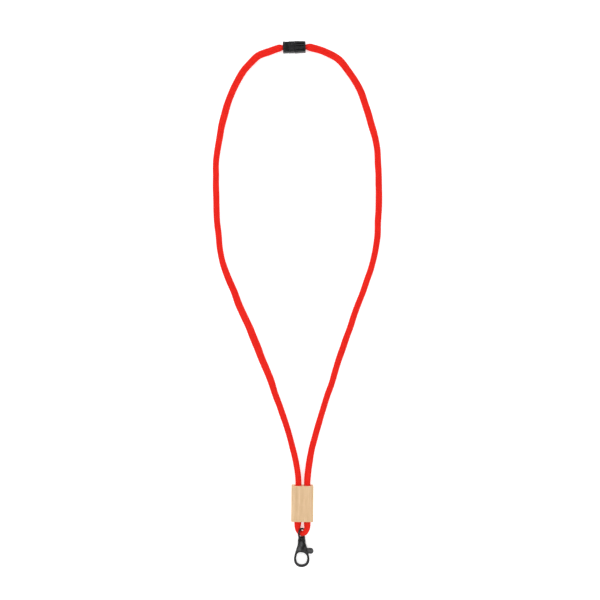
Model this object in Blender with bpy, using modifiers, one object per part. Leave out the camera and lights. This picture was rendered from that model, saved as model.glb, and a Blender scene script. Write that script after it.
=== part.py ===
"""A round-cord neck lanyard lying flat: a soft cord loop whose two ends meet in a breakaway clasp,
a drilled wood block that gathers both cord legs, and a swivel trigger hook hanging in the cord's bend.

Row frame, in metres: the lanyard lies on the plane z = 0, +Y runs from the hook to the clasp, and the
origin is the middle of its outline on that plane. Local frames, each an empty:
  clasp frame  x along the pull direction, towards the socket half
  block frame  y along the two bores
  hook frame   origin in the middle of the swivel eye, y up the swivel axis, z square to the hook's ring
"""

import math

import bmesh
import bpy
from mathutils import Matrix, Vector

REACH = 0.001  # how far a cutter runs past the face it cuts

# ---------------------------------------------------------------- cord
CORD_RADIUS = 0.0030
CORD_STEP = 0.0155  # spacing of the tube's points where it runs gently
BEND_SPAN = 0.0090  # spans between route points shorter than this get two tube points each

# The route's own points: (x, y, z, radius). It starts in the socket half, runs down the right leg,
# turns through the swivel eye and comes up the left leg to the plug half. The cord is squeezed
# where the clasp grips it and where it turns in the eye.
CORD_ROUTE = (
    (0.0033, 0.2436, 0.0040, 0.00230),
    (0.0073, 0.2437, 0.0040, 0.00235),
    (0.0120, 0.2433, 0.0039, 0.00310),
    (0.0256, 0.2393, 0.0032, 0.00300),
    (0.0398, 0.2310, 0.0031, 0.00300),
    (0.0560, 0.2088, 0.0031, 0.00300),
    (0.0668, 0.1810, 0.0031, 0.00300),
    (0.0752, 0.1470, 0.0031, 0.00300),
    (0.0768, 0.1120, 0.0031, 0.00300),
    (0.0763, 0.0770, 0.0031, 0.00300),
    (0.0722, 0.0430, 0.0031, 0.00300),
    (0.0606, 0.0085, 0.0031, 0.00300),
    (0.0451, -0.0350, 0.0031, 0.00300),
    (0.0300, -0.0815, 0.0031, 0.00300),
    (0.0148, -0.1315, 0.0033, 0.00300),
    (0.0093, -0.1630, 0.0060, 0.00300),
    (0.0090, -0.1889, 0.0060, 0.00300),
    (0.0089, -0.2075, 0.0061, 0.00295),
    (0.0087, -0.2126, 0.0069, 0.00275),
    (0.0068, -0.2164, 0.0071, 0.00255),
    (0.0038, -0.2178, 0.0051, 0.00240),
    (0.0012, -0.2162, 0.0034, 0.00255),
    (-0.0001, -0.2124, 0.0042, 0.00275),
    (0.0000, -0.2075, 0.0059, 0.00295),
    (0.0001, -0.1889, 0.0060, 0.00300),
    (0.0002, -0.1630, 0.0060, 0.00300),
    (-0.0064, -0.1312, 0.0033, 0.00300),
    (-0.0228, -0.0815, 0.0031, 0.00300),
    (-0.0412, -0.0345, 0.0031, 0.00300),
    (-0.0596, 0.0085, 0.0031, 0.00300),
    (-0.0722, 0.0430, 0.0031, 0.00300),
    (-0.0769, 0.0850, 0.0031, 0.00300),
    (-0.0772, 0.1380, 0.0031, 0.00300),
    (-0.0700, 0.1780, 0.0031, 0.00300),
    (-0.0590, 0.2088, 0.0031, 0.00300),
    (-0.0400, 0.2338, 0.0031, 0.00300),
    (-0.0248, 0.2404, 0.0033, 0.00300),
    (-0.0178, 0.2427, 0.0038, 0.00305),
    (-0.0143, 0.2431, 0.0040, 0.00240),
    (-0.0079, 0.2433, 0.0040, 0.00230),
)

# ---------------------------------------------------------------- breakaway clasp (clasp frame)
CLASP_CENTRE = (-0.0034, 0.2434, 0.0040)
CLASP_TILT = math.radians(1.5)
CLASP_HALF_LENGTH = 0.01075
CLASP_HALF_THICK = 0.0040
CLASP_EDGE = 0.0006  # rounded edge of the moulded halves
CAP_EDGE = 0.0004
SEAM_X = 0.0003  # where the two halves meet
SEAM_GAP = 0.0003
SOCKET_HALF_HEIGHT = 0.00525  # at the seam
SOCKET_END_HALF_HEIGHT = 0.00480  # at the cord's exit
PLUG_HALF_HEIGHT = 0.00500
PLUG_LEFT_X = -0.00905
CAP_RIGHT_X = -0.00935
CAVITY_END_X = 0.0052
CAVITY_HALF_HEIGHT = 0.0042
CAVITY_HALF_THICK = 0.0026
CHAMBER_RADIUS = 0.00300  # holds the crimped cord end
CHAMBER_END_X = 0.0094
PLUG_CHAMBER_X = -0.00725
LIP_RADIUS = 0.00255  # the crimp can't pass it
GROOVE_ROWS = (0.0026, 0.0005, -0.0030)
GROOVE_X = (0.0019, 0.0092)
GROOVE_HALF_WIDTH = 0.00040
GROOVE_DEPTH = 0.00045
WAIST_X = (-0.0086, -0.0053)
WAIST_DEPTH = 0.00035
DOME_X = -0.0025
DOME_Y = 0.00215
DOME_RADIUS = 0.0011
DOME_HEIGHT = 0.00035
PRONG_END_X = 0.0047
PRONG_Y = (0.00310, 0.00390)
PRONG_HALF_THICK = 0.0021
BARB_PROUD = 0.00015
BARB_ROOT = 0.0003
BARB_HALF_THICK = 0.00126
BARB_X = (0.0032, 0.0041)
RIM_END_X = 0.0013  # a thin rim on the plug enters the socket and closes the seam
RIM_ROOT = 0.0005
RIM_HALF_HEIGHT = 0.0040
RIM_HALF_THICK = 0.0024
RIM_WALL = 0.0004
SPIGOT_RADIUS = 0.00325
SPIGOT_LENGTH = 0.0009
COUNTERBORE_RADIUS = 0.00335
COUNTERBORE_DEPTH = 0.0009
CRIMP_OUTER = 0.00285
CRIMP_INNER = 0.00250
CRIMP_RIGHT_X = (0.0067, 0.0092)
CRIMP_LEFT_X = (-0.00705, -0.0047)

# ---------------------------------------------------------------- wood block (block frame)
BLOCK_CENTRE = (0.0042, -0.1889, 0.0060)
BLOCK_TILT = math.radians(-0.55)
BLOCK_SIZE = (0.0208, 0.0339, 0.0120)
BLOCK_EDGE = 0.0009
BORE_X = (-0.0041, 0.0048)
BORE_RADIUS = 0.00350
BORE_MOUTH = 0.0005  # eased edge of each bore

# ---------------------------------------------------------------- swivel hook (hook frame)
EYE_CENTRE = (0.00365, -0.2178, 0.0051)
HOOK_TILT = math.radians(5.0)  # the ring end lies lower than the eye
EYE_TURN = math.radians(45.0)  # the eye's own plane, turned about the swivel axis
EYE_RX = 0.00395
EYE_RY = 0.00460
EYE_BAR_RADIUS = 0.00085
TURNED_EDGE = 0.0004
COLLAR_RADIUS = 0.0033
COLLAR_Y = (-0.0034, -0.0057)
STEM_RADIUS = 0.0013
HEAD_RADIUS = 0.00195
HEAD_Y = (-0.0103, -0.0113)
BARREL_RADIUS = 0.0037
BARREL_TOP_Y = -0.0060
BARREL_CONE = ((0.0037, -0.0098), (0.0032, -0.0120), (0.0020, -0.0144), (0.0, -0.0150))
STEM_BORE_RADIUS = 0.00138
HEAD_CHAMBER_RADIUS = 0.00215
HEAD_CHAMBER_Y = (-0.0100, -0.0124)
HOOK_HALF_THICK = 0.0022
HOOK_REACH = 0.005  # half the depth of the cutters that go through the whole hook
HOOK_EDGE = 0.0006
PIVOT = (0.0012, -0.0149)
PIN_RADIUS = 0.00075
PIN_BORE_RADIUS = 0.00081
PIN_HEAD_RADIUS = 0.00125
PIN_HEAD_HEIGHT = 0.00035
PIN_HEAD_GAP = 0.00005
CHEEK_RADIUS = 0.0034  # the cheeks end on this circle about the pivot
GATE_RADIUS = 0.0037  # and the gate's full thickness starts on this one
SLOT_HALF_THICK = 0.0013
SLOT_LEFT_X = -0.0015
SLOT_RIGHT_X = 0.0090
SLOT_TOP_Y = -0.0121
SLOT_END_Y = -0.0200
GATE_TOP_Y = -0.0142
GAP = 0.0003
TIP_OUTER = (0.0076, -0.0255)  # the slanted seat where the gate meets the claw's tip
TIP_INNER = (0.0040, -0.0278)
RING_MIDDLE = (0.0014, -0.0225)
TONGUE_Z = (-0.00115, 0.00005)
TONGUE_RADIUS = 0.0023
TAB_HALF_THICK = 0.0018
TAB_EDGE = 0.0004
TAB_END_X = 0.01125
TAB_CENTRE_Y = -0.0168
TAB_HALF_WIDTH = 0.0026
SPRING_WIRE = 0.00015
SPRING_RADIUS = 0.00125
SPRING_Z = (0.00030, 0.00105)
SPRING_START = math.radians(200)
SPRING_TURNS = 2.25
SPRING_LEG = 0.0020
SPRING_POINTS_PER_TURN = 14

# Outer outline of the hook and the outline of its ring's hole, without the barrel and the thumb tab.
HOOK_OUTLINE = (
    (-0.0020, -0.0080),
    (-0.0034, -0.0099),
    (-0.0042, -0.0121),
    (-0.0053, -0.0158),
    (-0.0065, -0.0200),
    (-0.0073, -0.0242),
    (-0.0067, -0.0281),
    (-0.0041, -0.0312),
    (0.0000, -0.0323),
    (0.0041, -0.0312),
    (0.0068, -0.0281),
    (0.0074, -0.0242),
    (0.0065, -0.0200),
    (0.0056, -0.0160),
    (0.0048, -0.0125),
    (0.0038, -0.0099),
    (0.0020, -0.0080),
)
RING_HOLE = (
    (-0.0027, -0.0181),
    (0.0008, -0.0181),
    (0.0036, -0.0196),
    (0.0050, -0.0222),
    (0.0051, -0.0254),
    (0.0037, -0.0289),
    (0.0000, -0.0303),
    (-0.0037, -0.0289),
    (-0.0051, -0.0254),
    (-0.0050, -0.0222),
    (-0.0042, -0.0196),
)


# ---------------------------------------------------------------- scene helpers
def clear_scene():
    for obj in list(bpy.data.objects):
        bpy.data.objects.remove(obj, do_unlink=True)
    for collection in list(bpy.data.collections):
        bpy.data.collections.remove(collection)


def make_collection(name):
    collection = bpy.data.collections.new(name)
    bpy.context.scene.collection.children.link(collection)
    return collection


def make_material(name, color, roughness, metallic=0.0):
    material = bpy.data.materials.new(name)
    material.use_nodes = True
    shader = material.node_tree.nodes["Principled BSDF"]
    shader.inputs["Base Color"].default_value = (*color, 1.0)
    shader.inputs["Roughness"].default_value = roughness
    shader.inputs["Metallic"].default_value = metallic
    material.diffuse_color = (*color, 1.0)
    return material


def make_frame(name, location, rotation=(0.0, 0.0, 0.0), parent=None):
    """An empty whose axes are a local frame."""
    empty = bpy.data.objects.new(name, None)
    empty.location = location
    empty.rotation_euler = rotation
    empty.parent = parent
    PARTS.objects.link(empty)
    return empty


def add_part(name, data, frame, material):
    """One sub-part: an object in the parts collection, standing in its local frame."""
    obj = bpy.data.objects.new(name, data)
    obj.parent = frame
    if not data.materials:
        data.materials.append(material)
    PARTS.objects.link(obj)
    return obj


def add_cutter(name, data, frame):
    obj = bpy.data.objects.new(name, data)
    obj.parent = frame
    obj.hide_render = True
    obj.display_type = "WIRE"
    CUTTERS.objects.link(obj)
    return obj


def combine(target, tool, operation):
    modifier = target.modifiers.new(tool.name, "BOOLEAN")
    modifier.operation = operation
    modifier.object = tool
    modifier.solver = "EXACT"
    return modifier


def cut(target, tool):
    return combine(target, tool, "DIFFERENCE")


def join(target, tool):
    return combine(target, tool, "UNION")


def bevel_edges(obj, width, segments=2, angle=math.radians(40)):
    modifier = obj.modifiers.new("rounded edges", "BEVEL")
    modifier.width = width
    modifier.segments = segments
    modifier.limit_method = "ANGLE"
    modifier.angle_limit = angle
    return modifier


# ---------------------------------------------------------------- mesh helpers
def mesh_from_bmesh(name, bm):
    mesh = bpy.data.meshes.new(name)
    bm.to_mesh(mesh)
    bm.free()
    return mesh


def box(name, low, high, taper=1.0):
    """A box between two corners. taper scales the y size at its +x end."""
    bm = bmesh.new()
    bmesh.ops.create_cube(bm, size=1.0)
    size = [h - l for l, h in zip(low, high)]
    centre = [(h + l) / 2 for l, h in zip(low, high)]
    for vert in bm.verts:
        at_end = vert.co.x > 0
        vert.co = Vector(c + v * s for c, v, s in zip(centre, vert.co, size))
        if at_end:
            vert.co.y = centre[1] + (vert.co.y - centre[1]) * taper
    return mesh_from_bmesh(name, bm)


AXIS_TURN = {
    "X": Matrix.Rotation(math.radians(90), 4, "Y"),
    "Y": Matrix.Rotation(math.radians(-90), 4, "X"),
    "Z": Matrix.Identity(4),
}
# A plate's x, y and z become the clasp frame's y, z and x.
PLATE_TO_CLASP = Matrix(((0, 0, 1, 0), (1, 0, 0, 0), (0, 1, 0, 0), (0, 0, 0, 1)))


def cylinder(name, radius, start, end, axis, centre=(0.0, 0.0), sides=28):
    """A cylinder from start to end along an axis. centre holds its other two coordinates."""
    bm = bmesh.new()
    bmesh.ops.create_cone(
        bm,
        cap_ends=True,
        segments=sides,
        radius1=radius,
        radius2=radius,
        depth=end - start,
    )
    middle = (start + end) / 2
    place = {
        "X": (middle, *centre),
        "Y": (centre[0], middle, centre[1]),
        "Z": (*centre, middle),
    }[axis]
    bmesh.ops.transform(bm, matrix=Matrix.Translation(place) @ AXIS_TURN[axis], verts=bm.verts)
    return mesh_from_bmesh(name, bm)


def turned(name, profile, axis, centre=(0.0, 0.0), sides=28, closed=False):
    """A turned solid. profile is (radius, position along the axis), from its high end to its low end."""
    bm = bmesh.new()
    verts = [bm.verts.new((radius, 0.0, along)) for radius, along in profile]
    for first, second in zip(verts, verts[1:]):
        bm.edges.new((first, second))
    if closed:
        bm.edges.new((verts[-1], verts[0]))
    scratch = bpy.data.objects.new(name + "_profile", mesh_from_bmesh(name + "_profile", bm))
    CUTTERS.objects.link(scratch)
    screw = scratch.modifiers.new("turn", "SCREW")
    screw.steps = sides
    screw.render_steps = sides
    screw.use_merge_vertices = True
    screw.merge_threshold = 0.00001
    mesh = baked_mesh(scratch, name)
    place = {
        "X": (0.0, *centre),
        "Y": (centre[0], 0.0, centre[1]),
        "Z": (*centre, 0.0),
    }[axis]
    mesh.transform(Matrix.Translation(place) @ AXIS_TURN[axis])
    return mesh


def baked_mesh(obj, name):
    """The evaluated object as one welded mesh. The object itself is removed."""
    depsgraph = bpy.context.evaluated_depsgraph_get()
    mesh = bpy.data.meshes.new_from_object(obj.evaluated_get(depsgraph))
    mesh.name = name
    bm = bmesh.new()
    bm.from_mesh(mesh)
    bmesh.ops.remove_doubles(bm, verts=bm.verts, dist=0.000002)
    bmesh.ops.recalc_face_normals(bm, faces=bm.faces)
    bm.to_mesh(mesh)
    bm.free()
    bpy.data.objects.remove(obj, do_unlink=True)
    return mesh


def smooth_loop(points, per_span):
    """A closed smooth line through the points."""
    found = []
    count = len(points)
    for i in range(count):
        before, here, there, after = (Vector((*points[(i + k) % count], 0.0)) for k in (-1, 0, 1, 2))
        for step in range(per_span):
            t = step / per_span
            found.append(hermite(here, there, (there - before) / 2, (after - here) / 2, t).to_2d())
    return [tuple(p) for p in found]


def hermite(start, end, start_slope, end_slope, t):
    return (
        start * (2 * t**3 - 3 * t**2 + 1)
        + start_slope * (t**3 - 2 * t**2 + t)
        + end * (3 * t**2 - 2 * t**3)
        + end_slope * (t**3 - t**2)
    )


def arc(centre, radius, start_deg, end_deg, steps):
    """Points on an arc, both ends included."""
    found = []
    for i in range(steps + 1):
        angle = math.radians(start_deg + (end_deg - start_deg) * i / steps)
        found.append((centre[0] + radius * math.cos(angle), centre[1] + radius * math.sin(angle)))
    return found


def plate(name, outlines, low, high, edge=0.0):
    """A flat outline with holes, extruded along z from low to high, its edges rounded by edge."""
    curve = bpy.data.curves.new(name, "CURVE")
    curve.dimensions = "2D"
    curve.fill_mode = "BOTH"
    curve.extrude = (high - low) / 2 - edge
    curve.bevel_depth = edge
    curve.bevel_resolution = 1 if edge else 0
    curve.offset = -edge
    for outline in outlines:
        spline = curve.splines.new("POLY")
        spline.points.add(len(outline) - 1)
        for point, (x, y) in zip(spline.points, outline):
            point.co = (x, y, 0.0, 1.0)
        spline.use_cyclic_u = True
    scratch = bpy.data.objects.new(name + "_outline", curve)
    CUTTERS.objects.link(scratch)
    mesh = baked_mesh(scratch, name)
    mesh.transform(Matrix.Translation((0.0, 0.0, (low + high) / 2)))
    bpy.data.curves.remove(curve)
    return mesh


def tube(name, points, radii, wire_radius, resolution, cyclic=False):
    """A round tube along points, as a curve with filled caps. radii are factors of wire_radius."""
    curve = bpy.data.curves.new(name, "CURVE")
    curve.dimensions = "3D"
    curve.fill_mode = "FULL"
    curve.bevel_depth = wire_radius
    curve.bevel_resolution = resolution
    curve.use_fill_caps = not cyclic
    spline = curve.splines.new("POLY")
    spline.points.add(len(points) - 1)
    for point, place, factor in zip(spline.points, points, radii):
        point.co = (*place, 1.0)
        point.radius = factor
    spline.use_cyclic_u = cyclic
    return curve


def shade(obj, angle=math.radians(35)):
    obj.data.shade_smooth()
    obj.data.set_sharp_from_angle(angle=angle)


# ---------------------------------------------------------------- cord
def cord_line():
    """Tube points and radii on one smooth curve through the route's points."""
    places = [Vector(p[:3]) for p in CORD_ROUTE]
    radii = [p[3] for p in CORD_ROUTE]
    along = [0.0]
    for first, second in zip(places, places[1:]):
        along.append(along[-1] + (second - first).length)
    slopes = [(places[1] - places[0]) / along[1]]
    for i in range(1, len(places) - 1):
        slopes.append((places[i + 1] - places[i - 1]) / (along[i + 1] - along[i - 1]))
    slopes.append((places[-1] - places[-2]) / (along[-1] - along[-2]))
    line, widths = [], []
    for i in range(len(places) - 1):
        span = along[i + 1] - along[i]
        steps = 2 if span < BEND_SPAN else max(1, round(span / CORD_STEP))
        for step in range(steps):
            t = step / steps
            line.append(hermite(places[i], places[i + 1], slopes[i] * span, slopes[i + 1] * span, t))
            widths.append(radii[i] + (radii[i + 1] - radii[i]) * t)
    line.append(places[-1])
    widths.append(radii[-1])
    return line, widths


def build_cord():
    line, widths = cord_line()
    curve = tube("cord", line, [w / CORD_RADIUS for w in widths], CORD_RADIUS, 3)
    add_part("cord", curve, None, CORD_RED)


# ---------------------------------------------------------------- breakaway clasp
def build_socket_half(frame):
    """The right half: a tapered shell that takes the prongs, with a lip that holds the cord's end."""
    low = (SEAM_X - REACH, -SOCKET_HALF_HEIGHT, -CLASP_HALF_THICK)
    high = (CLASP_HALF_LENGTH, SOCKET_HALF_HEIGHT, CLASP_HALF_THICK)
    taper = SOCKET_END_HALF_HEIGHT / SOCKET_HALF_HEIGHT
    half = add_part("socket_half", box("socket_half", low, high, taper), frame, BLACK_PLASTIC)
    bevel_edges(half, CLASP_EDGE)
    cut_seam_flat(half, frame, SEAM_X - 3 * REACH, SEAM_X)
    cavity = box(
        "socket_cavity",
        (SEAM_X - REACH, -CAVITY_HALF_HEIGHT, -CAVITY_HALF_THICK),
        (CAVITY_END_X, CAVITY_HALF_HEIGHT, CAVITY_HALF_THICK),
    )
    cut(half, add_cutter("socket_cavity", cavity, frame))
    chamber = cylinder("socket_chamber", CHAMBER_RADIUS, CAVITY_END_X - REACH, CHAMBER_END_X, "X")
    cut(half, add_cutter("socket_chamber", chamber, frame))
    lip = cylinder("socket_lip", LIP_RADIUS, CHAMBER_END_X - REACH, CLASP_HALF_LENGTH + REACH, "X")
    cut(half, add_cutter("socket_lip", lip, frame))
    for side in (-1, 1):
        for row, y in enumerate(GROOVE_ROWS):
            name = f"socket_groove_{'back' if side < 0 else 'front'}_{row}"
            inner, outer = CLASP_HALF_THICK - GROOVE_DEPTH, CLASP_HALF_THICK + REACH
            z = sorted((side * inner, side * outer))
            groove = box(
                name,
                (GROOVE_X[0], y - GROOVE_HALF_WIDTH, z[0]),
                (GROOVE_X[1], y + GROOVE_HALF_WIDTH, z[1]),
            )
            cut(half, add_cutter(name, groove, frame))
    shade(half)


def build_plug_half(frame):
    """The left half: a body with a waist, two domes on its front face, and two prongs."""
    right_x = SEAM_X - SEAM_GAP
    low = (PLUG_LEFT_X, -PLUG_HALF_HEIGHT, -CLASP_HALF_THICK)
    high = (right_x + REACH, PLUG_HALF_HEIGHT, CLASP_HALF_THICK)
    half = add_part("plug_half", box("plug_half", low, high), frame, BLACK_PLASTIC)
    bevel_edges(half, CLASP_EDGE)
    cut_seam_flat(half, frame, right_x, right_x + 3 * REACH)
    for side in (-1, 1):
        side_name = "lower" if side < 0 else "upper"
        y = sorted((side * PRONG_Y[0], side * PRONG_Y[1]))
        prong = box(
            f"prong_{side_name}",
            (right_x - REACH, y[0], -PRONG_HALF_THICK),
            (PRONG_END_X, y[1], PRONG_HALF_THICK),
        )
        join(half, add_cutter(f"prong_{side_name}", prong, frame))
        barb_y = sorted((side * (PRONG_Y[1] - BARB_ROOT), side * (PRONG_Y[1] + BARB_PROUD)))
        barb = box(
            f"barb_{side_name}",
            (BARB_X[0], barb_y[0], -BARB_HALF_THICK),
            (BARB_X[1], barb_y[1], BARB_HALF_THICK),
        )
        join(half, add_cutter(f"barb_{side_name}", barb, frame))
    join_domes(half, frame)
    cut_waist(half, frame)
    chamber = cylinder("plug_chamber", CHAMBER_RADIUS, PLUG_CHAMBER_X, right_x + REACH, "X")
    cut(half, add_cutter("plug_chamber", chamber, frame))
    lip = cylinder("plug_lip", LIP_RADIUS, PLUG_LEFT_X - REACH, PLUG_CHAMBER_X + REACH, "X")
    cut(half, add_cutter("plug_lip", lip, frame))
    join_rim(half, frame, right_x)
    counterbore = cylinder(
        "plug_counterbore",
        COUNTERBORE_RADIUS,
        PLUG_LEFT_X - REACH,
        PLUG_LEFT_X + COUNTERBORE_DEPTH,
        "X",
    )
    cut(half, add_cutter("plug_counterbore", counterbore, frame))
    shade(half)


def cut_seam_flat(half, frame, low_x, high_x):
    """Takes the end of a half off square, where it meets the other half."""
    wide = SOCKET_HALF_HEIGHT + REACH
    name = half.name + "_seam"
    block = box(name, (low_x, -wide, -wide), (high_x, wide, wide))
    cut(half, add_cutter(name, block, frame))


def join_rim(half, frame, right_x):
    """The thin four-sided rim round the prongs, on the end face of the plug half."""
    outer = rectangle(RIM_HALF_HEIGHT, RIM_HALF_THICK)
    inner = rectangle(RIM_HALF_HEIGHT - RIM_WALL, RIM_HALF_THICK - RIM_WALL)
    rim = plate("plug_rim", [outer, inner], right_x - RIM_ROOT, RIM_END_X)
    rim.transform(PLATE_TO_CLASP)
    join(half, add_cutter("plug_rim", rim, frame))


def join_domes(half, frame):
    """Two shallow round domes on the front face."""
    sphere_radius = (DOME_RADIUS**2 + DOME_HEIGHT**2) / (2 * DOME_HEIGHT)
    sweep = math.asin(DOME_RADIUS / sphere_radius)
    rings = 4
    profile = [(0.0, CLASP_HALF_THICK + DOME_HEIGHT)]
    for ring in range(1, rings + 1):
        angle = sweep * ring / rings
        drop = sphere_radius * (1 - math.cos(angle))
        profile.append((sphere_radius * math.sin(angle), CLASP_HALF_THICK + DOME_HEIGHT - drop))
    profile.append((DOME_RADIUS, CLASP_HALF_THICK - DOME_HEIGHT))
    profile.append((0.0, CLASP_HALF_THICK - DOME_HEIGHT))
    for row, side in (("lower", -1), ("upper", 1)):
        dome = turned(f"dome_{row}", profile, "Z", sides=16)
        dome.transform(Matrix.Translation((DOME_X, side * DOME_Y, 0.0)))
        join(half, add_cutter(f"dome_{row}", dome, frame))


def rectangle(half_x, half_y):
    return [(-half_x, -half_y), (half_x, -half_y), (half_x, half_y), (-half_x, half_y)]


def cut_waist(half, frame):
    """A shallow band cut all round the plug half, for the fingertips."""
    inner = rectangle(PLUG_HALF_HEIGHT - WAIST_DEPTH, CLASP_HALF_THICK - WAIST_DEPTH)
    outer = rectangle(PLUG_HALF_HEIGHT + REACH, CLASP_HALF_THICK + REACH)
    band = plate("waist_band", [outer, inner], *WAIST_X)
    band.transform(PLATE_TO_CLASP)
    cut(half, add_cutter("waist_band", band, frame))


def build_plug_cap(frame):
    """The cap on the plug half's cord end, with a spigot that centres it."""
    low = (-CLASP_HALF_LENGTH, -PLUG_HALF_HEIGHT, -CLASP_HALF_THICK)
    high = (CAP_RIGHT_X, PLUG_HALF_HEIGHT, CLASP_HALF_THICK)
    cap = add_part("plug_cap", box("plug_cap", low, high), frame, BLACK_PLASTIC)
    bevel_edges(cap, CAP_EDGE)
    spigot_root = (CAP_RIGHT_X - CLASP_HALF_LENGTH) / 2
    spigot = cylinder("cap_spigot", SPIGOT_RADIUS, spigot_root, CAP_RIGHT_X + SPIGOT_LENGTH, "X")
    join(cap, add_cutter("cap_spigot", spigot, frame))
    hole_end = CAP_RIGHT_X + SPIGOT_LENGTH + REACH
    hole = cylinder("cap_hole", LIP_RADIUS, -CLASP_HALF_LENGTH - REACH, hole_end, "X")
    cut(cap, add_cutter("cap_hole", hole, frame))
    shade(cap)


def build_crimp(name, span, frame):
    """The metal sleeve crimped round one end of the cord."""
    profile = [
        (CRIMP_OUTER, span[1]),
        (CRIMP_OUTER, span[0]),
        (CRIMP_INNER, span[0]),
        (CRIMP_INNER, span[1]),
    ]
    crimp = add_part(name, turned(name, profile, "X", sides=20, closed=True), frame, CRIMP_STEEL)
    shade(crimp)


# ---------------------------------------------------------------- wood block
def build_wood_block(frame):
    half = [s / 2 for s in BLOCK_SIZE]
    block = add_part("wood_block", box("wood_block", [-h for h in half], half), frame, PALE_WOOD)
    bevel_edges(block, BLOCK_EDGE, segments=3)
    reach = half[1] + REACH
    for side, x in zip(("left", "right"), BORE_X):
        name = f"block_bore_{side}"
        wide = BORE_RADIUS + BORE_MOUTH + REACH
        profile = [(0.0, reach), (wide, reach)]
        profile += [(BORE_RADIUS, half[1] - BORE_MOUTH), (BORE_RADIUS, BORE_MOUTH - half[1])]
        profile += [(wide, -reach), (0.0, -reach)]
        bore = turned(name, profile, "Y", centre=(x, 0.0), sides=28)
        cut(block, add_cutter(name, bore, frame))
    shade(block)


# ---------------------------------------------------------------- swivel hook
def build_swivel_eye(frame):
    """The eye on the cord, its collar, and the stem that is headed over inside the hook."""
    count = 32
    turn = Matrix.Rotation(EYE_TURN, 3, "Y")
    ring_points = []
    for i in range(count):
        angle = math.tau * i / count
        flat = Vector((EYE_RX * math.cos(angle), EYE_RY * math.sin(angle), 0.0))
        ring_points.append(turn @ flat)
    ring_curve = tube("eye_ring", ring_points, [1.0] * count, EYE_BAR_RADIUS, 3, cyclic=True)
    scratch = bpy.data.objects.new("eye_ring_line", ring_curve)
    CUTTERS.objects.link(scratch)
    ring = baked_mesh(scratch, "swivel_eye")
    eye = add_part("swivel_eye", ring, frame, BLACK_METAL)
    profile = [
        (0.0, COLLAR_Y[0]),
        (COLLAR_RADIUS - 2 * TURNED_EDGE, COLLAR_Y[0]),
        (COLLAR_RADIUS, COLLAR_Y[0] - 2 * TURNED_EDGE),
        (COLLAR_RADIUS, COLLAR_Y[1] + TURNED_EDGE),
        (COLLAR_RADIUS - TURNED_EDGE, COLLAR_Y[1]),
        (STEM_RADIUS, COLLAR_Y[1]),
        (STEM_RADIUS, HEAD_Y[0]),
        (HEAD_RADIUS, HEAD_Y[0]),
        (HEAD_RADIUS, HEAD_Y[1] + TURNED_EDGE),
        (HEAD_RADIUS - TURNED_EDGE, HEAD_Y[1]),
        (0.0, HEAD_Y[1]),
    ]
    join(eye, add_cutter("eye_stem", turned("eye_stem", profile, "Y"), frame))
    shade(eye)


def gate_gap_outline(radius, top, inset):
    """The outline of the gate's place: right of an arc about the pivot, below top, above the claw's
    tip. inset draws the slanted seat back along its normal, which is the gap to the claw."""
    outer, inner = Vector(TIP_OUTER), Vector(TIP_INNER)
    along = (inner - outer).normalized()
    normal = Vector((along.y, -along.x))
    if normal.y < 0:
        normal = -normal
    outer = outer - along * 3 * REACH + normal * inset
    inner = inner + along * 0.6 * REACH + normal * inset
    start = math.degrees(math.asin((top - PIVOT[1]) / radius))
    line = arc(PIVOT, radius, start, -92, 12)
    line += [RING_MIDDLE, tuple(inner), tuple(outer), (outer.x + 2 * REACH, top)]
    return line


def build_hook_body(frame):
    """The cast body: barrel, two cheeks and the claw, cut open for the stem, the gate and the pin."""
    outlines = [smooth_loop(HOOK_OUTLINE, 3), smooth_loop(RING_HOLE, 3)]
    body_mesh = plate("hook_body", outlines, -HOOK_HALF_THICK, HOOK_HALF_THICK, HOOK_EDGE)
    body = add_part("hook_body", body_mesh, frame, BLACK_METAL)
    profile = [
        (0.0, BARREL_TOP_Y),
        (BARREL_RADIUS - TURNED_EDGE, BARREL_TOP_Y),
        (BARREL_RADIUS, BARREL_TOP_Y - TURNED_EDGE),
        *BARREL_CONE,
    ]
    join(body, add_cutter("hook_barrel", turned("hook_barrel", profile, "Y"), frame))
    gap_line = gate_gap_outline(CHEEK_RADIUS, GATE_TOP_Y + GAP, 0.0)
    gap = plate("gate_gap", [gap_line], -HOOK_REACH, HOOK_REACH)
    cut(body, add_cutter("gate_gap", gap, frame))
    slot = box(
        "gate_slot",
        (SLOT_LEFT_X, SLOT_END_Y, -SLOT_HALF_THICK),
        (SLOT_RIGHT_X, SLOT_TOP_Y, SLOT_HALF_THICK),
    )
    cut(body, add_cutter("gate_slot", slot, frame))
    bore_top = BARREL_TOP_Y + REACH
    bore = cylinder("stem_bore", STEM_BORE_RADIUS, HEAD_CHAMBER_Y[0] - REACH, bore_top, "Y")
    cut(body, add_cutter("stem_bore", bore, frame))
    chamber = cylinder("head_chamber", HEAD_CHAMBER_RADIUS, HEAD_CHAMBER_Y[1], HEAD_CHAMBER_Y[0], "Y")
    cut(body, add_cutter("head_chamber", chamber, frame))
    pin_bore = cylinder(
        "pin_bore", PIN_BORE_RADIUS, -HOOK_REACH, HOOK_REACH, "Z", centre=PIVOT, sides=20
    )
    cut(body, add_cutter("pin_bore", pin_bore, frame))
    shade(body)


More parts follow.
